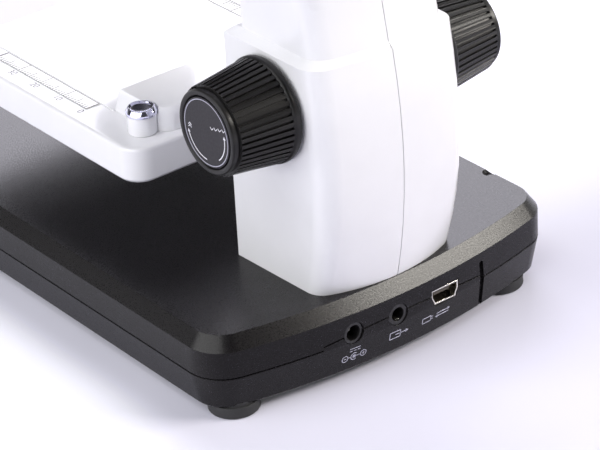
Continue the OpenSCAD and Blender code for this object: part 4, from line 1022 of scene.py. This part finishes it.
# %% Spring leaves
SOCKET_Z = 13.7
LEAF_W, LEAF_T, LEAF_ARCH, LEAF_CLEAR = 1.1, 0.12, 0.3, 0.2


def spring_leaf(name, socket, bore_r, depth, reach):
    """A leaf in the floor of a bore, with its middle depth mm deep, reach mm long on each side."""
    low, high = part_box(socket)
    middle_x, middle_y = (low.x + high.x) / 2, high.y - depth * MM
    bpy.ops.object.select_all(action="DESELECT")
    bpy.ops.mesh.primitive_grid_add(x_subdivisions=4, y_subdivisions=12, size=1, location=(
        middle_x, middle_y, (SOCKET_Z - bore_r + LEAF_CLEAR) * MM))
    bpy.context.active_object.scale = (LEAF_W * MM, 2 * reach * MM, 1)
    leaf = settle(new_piece(name))
    for vertex in leaf.data.vertices:
        run = (vertex.co.y - middle_y) / (reach * MM)
        vertex.co.z += LEAF_ARCH * MM * (1 - run * run)
    use(leaf, "SOLIDIFY", thickness=LEAF_T * MM, offset=0)
    return seat_piece(leaf, "stand", "socket_metal", nickel)


spring_leaf("picture_spring", "av_jack", 1.8, 1.9, 1.3)
spring_leaf("power_spring", "dc_jack", 1.9, 4.4, 1.8)
print("spring leaves: 2")

# %% [markdown]
# ## Pictograms on the back wall
# Plain pictograms in silver ink under the sockets say what each is for: direct current with its
# polarity, picture out, and data. They are drawn as seen from behind, flat, and pressed onto the
# bowed wall along the direction of sight. The strokes are a quarter of a millimetre wide, which is
# about as fine as pad printing can go.

# %% Strokes on the wall
wall_shell = shells["base_bottom_shell"]
STROKE, BEHIND_WALL = 0.24, 84


def on_wall(parts, name, x, z):
    """Presses a drawing onto the back wall, seen from behind, with its middle at x and z."""
    return lay(parts, name, (x * MM, BEHIND_WALL * MM, z * MM), (-1, 0, 0), (0, 0, 1), "stand",
               "black_shell", ink_silver, onto=wall_shell)


def stroke(start, end):
    """A bar as wide as the lines of the wall's pictograms."""
    return bar_mark(start, end, STROKE)


def outline_mark(x0, z0, x1, z1):
    """Four strokes round a rectangle."""
    corners = [(x0, z0), (x1, z0), (x1, z1), (x0, z1)]
    return [stroke(a, b) for a, b in zip(corners, corners[1:] + corners[:1])]


# %% Draw the pictograms
# Polarity: a minus and a plus pole, and between them the open ring of the sleeve round the pin.
polarity = [ring_mark(0.82, STROKE, centre=(pole, 0), steps=40) for pole in (-2.6, 2.6)]
polarity += [ring_mark(0.95, STROKE, 50, 310, steps=48), dot_mark((0, 0), 0.5),
             stroke((-1.8, 0), (-0.95, 0)), stroke((0.5, 0), (1.8, 0)),
             stroke((-3.0, 0), (-2.2, 0)), stroke((2.2, 0), (3.0, 0)),
             stroke((2.6, -0.4), (2.6, 0.4))]
on_wall(polarity, "polarity_mark", 15.2, 6.9)
# Direct current: one long line over three short ones.
current = [stroke((-1.5, 0.35), (1.5, 0.35))]
current += [stroke((x, -0.35), (x + 0.75, -0.35)) for x in (-1.5, -0.375, 0.75)]
on_wall(current, "direct_current_mark", 15.1, 9.0)
# Picture out: an arrow that leaves a frame.
picture_out = outline_mark(-2.6, -0.95, 0.6, 0.95)
picture_out += [stroke((-0.9, 0), (2.3, 0)), dot_mark((2.5, 0), 0.62, 3, 0)]
on_wall(picture_out, "picture_out_mark", 2.2, 8.1)
# Data: two arrows that pass each other, beside a plug with its two blades.
data_marks = [stroke((-2.0, 0.42), (1.6, 0.42)), dot_mark((1.9, 0.42), 0.55, 3, 0),
              stroke((-1.6, -0.42), (2.0, -0.42)), dot_mark((-1.9, -0.42), 0.55, 3, 180)]
data_marks += outline_mark(-6.6, -0.7, -3.9, 0.7)
data_marks += [stroke((-3.9, z), (-3.2, z)) for z in (0.35, -0.35)]
on_wall(data_marks, "data_mark", -12.0, 8.1)
print("pictograms on the back wall: 4")

# %% [markdown]
# ## Keys
# Five round keys stand in the top cover. Each is a moulded cap with a skirt that holds it under
# the cover, a soft shoulder and a shallow dish for the fingertip. A cylinder with a bevel would do
# for the shoulder, but the dish is what catches the light, so the cap is spun from a profile,
# once, and copied to the five places.

# %% The key cap
key_low, key_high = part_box("power_button")
KEY_Y = (key_low.y + key_high.y) / 2
KEY_TOP, KEY_FOOT = key_high.z / MM, key_low.z / MM
SKIRT_W, SKIRT_TOP = 1, 131.2
KEY_R = (key_high.x - key_low.x) / 2 / MM - SKIRT_W
SHOULDER, DISH_EDGE, DISH_DROP, DISH_DEPTH, DISH_STEPS = 0.7, 0.9, 0.02, 0.25, 6
key_profile = [(0, KEY_FOOT), (KEY_R + SKIRT_W, KEY_FOOT), (KEY_R + SKIRT_W, SKIRT_TOP),
               (KEY_R, SKIRT_TOP)]
key_profile += arc((KEY_R - SHOULDER, KEY_TOP - SHOULDER), SHOULDER, 0, 90, 7)
for k in range(DISH_STEPS, -1, -1):
    share = k / DISH_STEPS
    key_profile += [((KEY_R - DISH_EDGE) * share,
                     KEY_TOP - DISH_DROP - DISH_DEPTH * (1 - share ** 2))]
key = turned("key_cap", key_profile, 64, 50)
print("key radius and top in mm:", round(KEY_R, 2), round(KEY_TOP, 2))

# %% [markdown]
# White pictograms tell the keys apart: power, menu, minus, plus and a shutter ring. Each is drawn
# a little above its cap and pressed down into the dish, so it follows the curve.

# %% Caps and their pictograms
KEY_LINE, SIGN_LINE, SHUTTER_LINE = 0.26, 0.3, 0.24
KEY_INK, ABOVE_KEY = 0.025, 0.3


def key_marks(kind):
    """The flat pictogram of one key."""
    if kind == "power":
        return [ring_mark(1.15, KEY_LINE, 125, 415, steps=60),
                bar_mark((0, 0.3), (0, 1.55), KEY_LINE)]
    if kind == "menu":
        return [bar_mark((-1.1, z), (1.1, z), KEY_LINE) for z in (-0.75, 0, 0.75)]
    if kind == "capture":
        return [ring_mark(1.4, SHUTTER_LINE, steps=60), dot_mark((0, 0), 0.75)]
    bars = [bar_mark((-1.15, 0), (1.15, 0), SIGN_LINE)]
    return bars if kind == "minus" else bars + [bar_mark((0, -1.15), (0, 1.15), SIGN_LINE)]


for kind in ("power", "menu", "minus", "plus", "capture"):
    node = kind + "_button"
    low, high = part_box(node)
    key_x = (low.x + high.x) / 2
    cap_piece = copy_to(key, node + "_cap", (key_x, KEY_Y, 0))
    seat_piece(cap_piece, BODY_OF[node], "button_grey", key_grey, node)
    lay(key_marks(kind), node + "_mark", (key_x, KEY_Y, (KEY_TOP + ABOVE_KEY) * MM), (1, 0, 0),
        (0, 1, 0), BODY_OF[node], "button_grey", ink_white, ink=KEY_INK, onto=cap_piece, along="z")
    print(node, "at x", round(key_x / MM, 1), "mm")
discard(key)

# %% [markdown]
# ## The floor
# The microscope stands on pale paper with a cool tint, which carries its shadow. It could be pure
# white, but then it would throw so much light up that the black walls turn grey. So the paper
# itself is a little darker, and a glow is added for what looks at it directly, in glass or in a
# mirror, which lights nothing.

# %% Paper
FLOOR_SIZE, PAPER_PATCH = 12, 60.0
bpy.ops.object.select_all(action="DESELECT")
bpy.ops.mesh.primitive_grid_add(x_subdivisions=8, y_subdivisions=8, size=FLOOR_SIZE,
                                location=(0, 0, 0))
floor = settle(new_piece("floor"))
paper, paper_tree, paper_shader = finish("pale_paper", "#d8d7e8", 0.9, Specular_IOR_Level=0.1)
paper_place = add(paper_tree, "TexCoord").outputs["Object"]
drift(paper_tree, paper_shader, paper_place, PAPER_PATCH, "#d8d7e8", "#dcdbec")
dress(floor, paper)
print("floor in m:", FLOOR_SIZE)

# %% [markdown]
# The glow has three parts. A sweep runs across the floor from the front of the picture, where the
# shadow lies and the paper shows its own tint, to the far side, where it nears white. Close beside
# the base the glow is held back, so that the shadow at its foot stays dark and the black side
# walls mirror a darker strip. Half a metre away the floor is white all round, so no horizon shows
# from a low angle. One lamp behind the object could whiten the floor too, but it would also light
# the object's edges.

# %% Where the paper glows
# The sweep and the hold-back beside the base are painted shade on the paper, added to the real
# shadow that the lamps cast.
SWEEP_WAY, SWEEP_START, SWEEP_END, SWEEP_GLOW = (0.2, -0.98, 0), -0.095, -0.02, 0.5
FOOT_START, FOOT_END, FOOT_GLOW = 0.054, 0.068, 0.2
FAR_START, FAR_END = 0.15, 0.5
along_sweep = add(paper_tree, "VectorMath", {0: paper_place, 1: SWEEP_WAY},
                  operation="DOT_PRODUCT")
sweep = add(paper_tree, "MapRange", {"Value": along_sweep.outputs["Value"],
                                     "From Min": SWEEP_START, "From Max": SWEEP_END,
                                     "To Min": 0.0, "To Max": SWEEP_GLOW},
            interpolation_type="SMOOTHSTEP")
axes = add(paper_tree, "SeparateXYZ", {"Vector": paper_place})
aside = add(paper_tree, "Math", {0: axes.outputs["X"]}, operation="ABSOLUTE")
beside_foot = add(paper_tree, "MapRange", {"Value": aside.outputs["Value"],
                                           "From Min": FOOT_START, "From Max": FOOT_END,
                                           "To Min": FOOT_GLOW, "To Max": 1.0},
                  interpolation_type="SMOOTHSTEP")
near = add(paper_tree, "Math", {0: sweep.outputs["Result"], 1: beside_foot.outputs["Result"]},
           operation="MULTIPLY")
distance = add(paper_tree, "VectorMath", {0: paper_place}, operation="LENGTH")
far = add(paper_tree, "MapRange", {"Value": distance.outputs["Value"],
                                   "From Min": FAR_START, "From Max": FAR_END,
                                   "To Min": 0.0, "To Max": 1.0}, interpolation_type="SMOOTHSTEP")
glow = add(paper_tree, "Math", {0: near.outputs["Value"], 1: far.outputs["Result"]},
           operation="MAXIMUM")
print("the floor is white from", FAR_END, "m")

# %% [markdown]
# The glow is for rays that come from the camera, and for those that a shiny or a clear surface
# sends on, so that metal and glass show the same paper that surrounds them. A Light Path node
# tells those rays from the ones that carry light, which get none of it.

# %% Who sees the glow
def seen(tree):
    """Two outputs, 1 or 0: a ray from the camera, and one sent on by a shiny or clear surface."""
    path = add(tree, "LightPath")
    mirror = add(tree, "Math", {0: path.outputs["Is Glossy Ray"],
                                1: path.outputs["Is Transmission Ray"]}, operation="MAXIMUM")
    return path.outputs["Is Camera Ray"], mirror.outputs["Value"]


by_camera, by_mirror = seen(paper_tree)
by_any = add(paper_tree, "Math", {0: by_camera, 1: by_mirror}, operation="MAXIMUM")
strength = add(paper_tree, "Math", {0: by_any.outputs["Value"], 1: glow.outputs["Value"]},
               operation="MULTIPLY")
fill(paper_tree, paper_shader, {"Emission Color": linear("#ffffff"),
                                "Emission Strength": strength.outputs["Value"]})
print("paper nodes:", len(paper_tree.nodes))

# %% [markdown]
# ## The room
# The background is a white room that gives almost no light of its own, so the lamps alone shape
# the object. The camera sees it at full white. Chrome and glass see the white only in a band over
# the horizon, as a low studio wall would show in them, and a dim room above it. An even white room
# could light everything at once, but black plastic would turn grey and white plastic would lose
# its form.

# %% World
ROOM_LIGHT, WALL_START, WALL_END = 0.07, 0.12, 0.3
world = bpy.data.worlds.new("dim_room")
bpy.context.scene.world = world
world.use_nodes = True
room = world.node_tree
direction = add(room, "SeparateXYZ", {"Vector": add(room, "TexCoord").outputs["Generated"]})
low_wall = add(room, "MapRange", {"Value": direction.outputs["Z"], "From Min": WALL_START,
                                  "From Max": WALL_END, "To Min": 1.0, "To Max": 0.0},
               interpolation_type="SMOOTHSTEP")
by_camera, by_mirror = seen(room)
mirrored_wall = add(room, "Math", {0: by_mirror, 1: low_wall.outputs["Result"]},
                    operation="MULTIPLY")
white_seen = add(room, "Math", {0: by_camera, 1: mirrored_wall.outputs["Value"]},
                 operation="MAXIMUM")
room_level = add(room, "MapRange", {"Value": white_seen.outputs["Value"], "To Min": ROOM_LIGHT,
                                    "To Max": 1.0})
fill(room, room.nodes["Background"], {"Color": linear("#ffffff"),
                                      "Strength": room_level.outputs["Result"]})
print("room light:", ROOM_LIGHT)

# %% [markdown]
# ## The lamps
# Black plastic shows only what it mirrors, so the lamps are placed by reflection. The line of
# sight is mirrored in a surface, and a lamp in that direction puts a sheen there. A panel in front
# on the left gives the sheen on the far half of the deck. A narrow strip behind on the left draws
# the bright band along the rear bevel. That bevel bows, so its mirror direction climbs from one
# end to the other, and the strip is rolled to follow it. The large panel on the right lights the
# white faces, a low one there fills the side of the stage and the knob, and two weak ones open the
# shadows on the left and on top. One large lamp would be simpler, but it would give one sheen and
# a flat column.

# %% Lamps
AIM = Vector((0, 0, 0.06))


def panel(name, heading, height, distance, size, watts, code="#ffffff", roll=0):
    """A soft panel seen from the microscope at a heading and a height in degrees."""
    flat, rise = math.radians(heading), math.radians(height)
    place = AIM + distance * Vector((math.cos(flat) * math.cos(rise),
                                     math.sin(flat) * math.cos(rise), math.sin(rise)))
    bpy.ops.object.light_add(type="AREA", location=place)
    lamp = bpy.context.active_object
    lamp.name = name
    lamp.data.shape = "RECTANGLE"
    lamp.data.size, lamp.data.size_y = size
    lamp.data.energy = watts
    lamp.data.color = linear(code)[:3]
    facing = (AIM - place).to_track_quat("-Z", "Y")
    lamp.rotation_euler = (facing @ Quaternion((0, 0, 1), math.radians(roll))).to_euler()
    return lamp


lamps = [panel("panel_above", 0, 90, 1.5, (1.3, 1.3), 2),
         panel("panel_key_right", 2, 39, 1.4, (1.9, 1.6), 20),
         panel("panel_low_right", 0, 12, 1.4, (1.0, 0.3), 5),
         panel("panel_rear_left", 137, 28.5, 1.1, (0.64, 0.2), 11, "#fffaf2", roll=-22),
         panel("panel_front_left", 233, 29, 1.2, (0.7, 0.7), 7, "#f6f4ff"),
         panel("panel_left", 166, 42, 1.3, (0.5, 0.5), 2)]
print("lamps:", len(lamps), "watts in all:", sum(lamp.data.energy for lamp in lamps))

# %% [markdown]
# ## The view
# The Standard view shows a colour as it is written, where a film-like view would grey the whites.

# %% View settings
bpy.context.scene.view_settings.view_transform = "Standard"
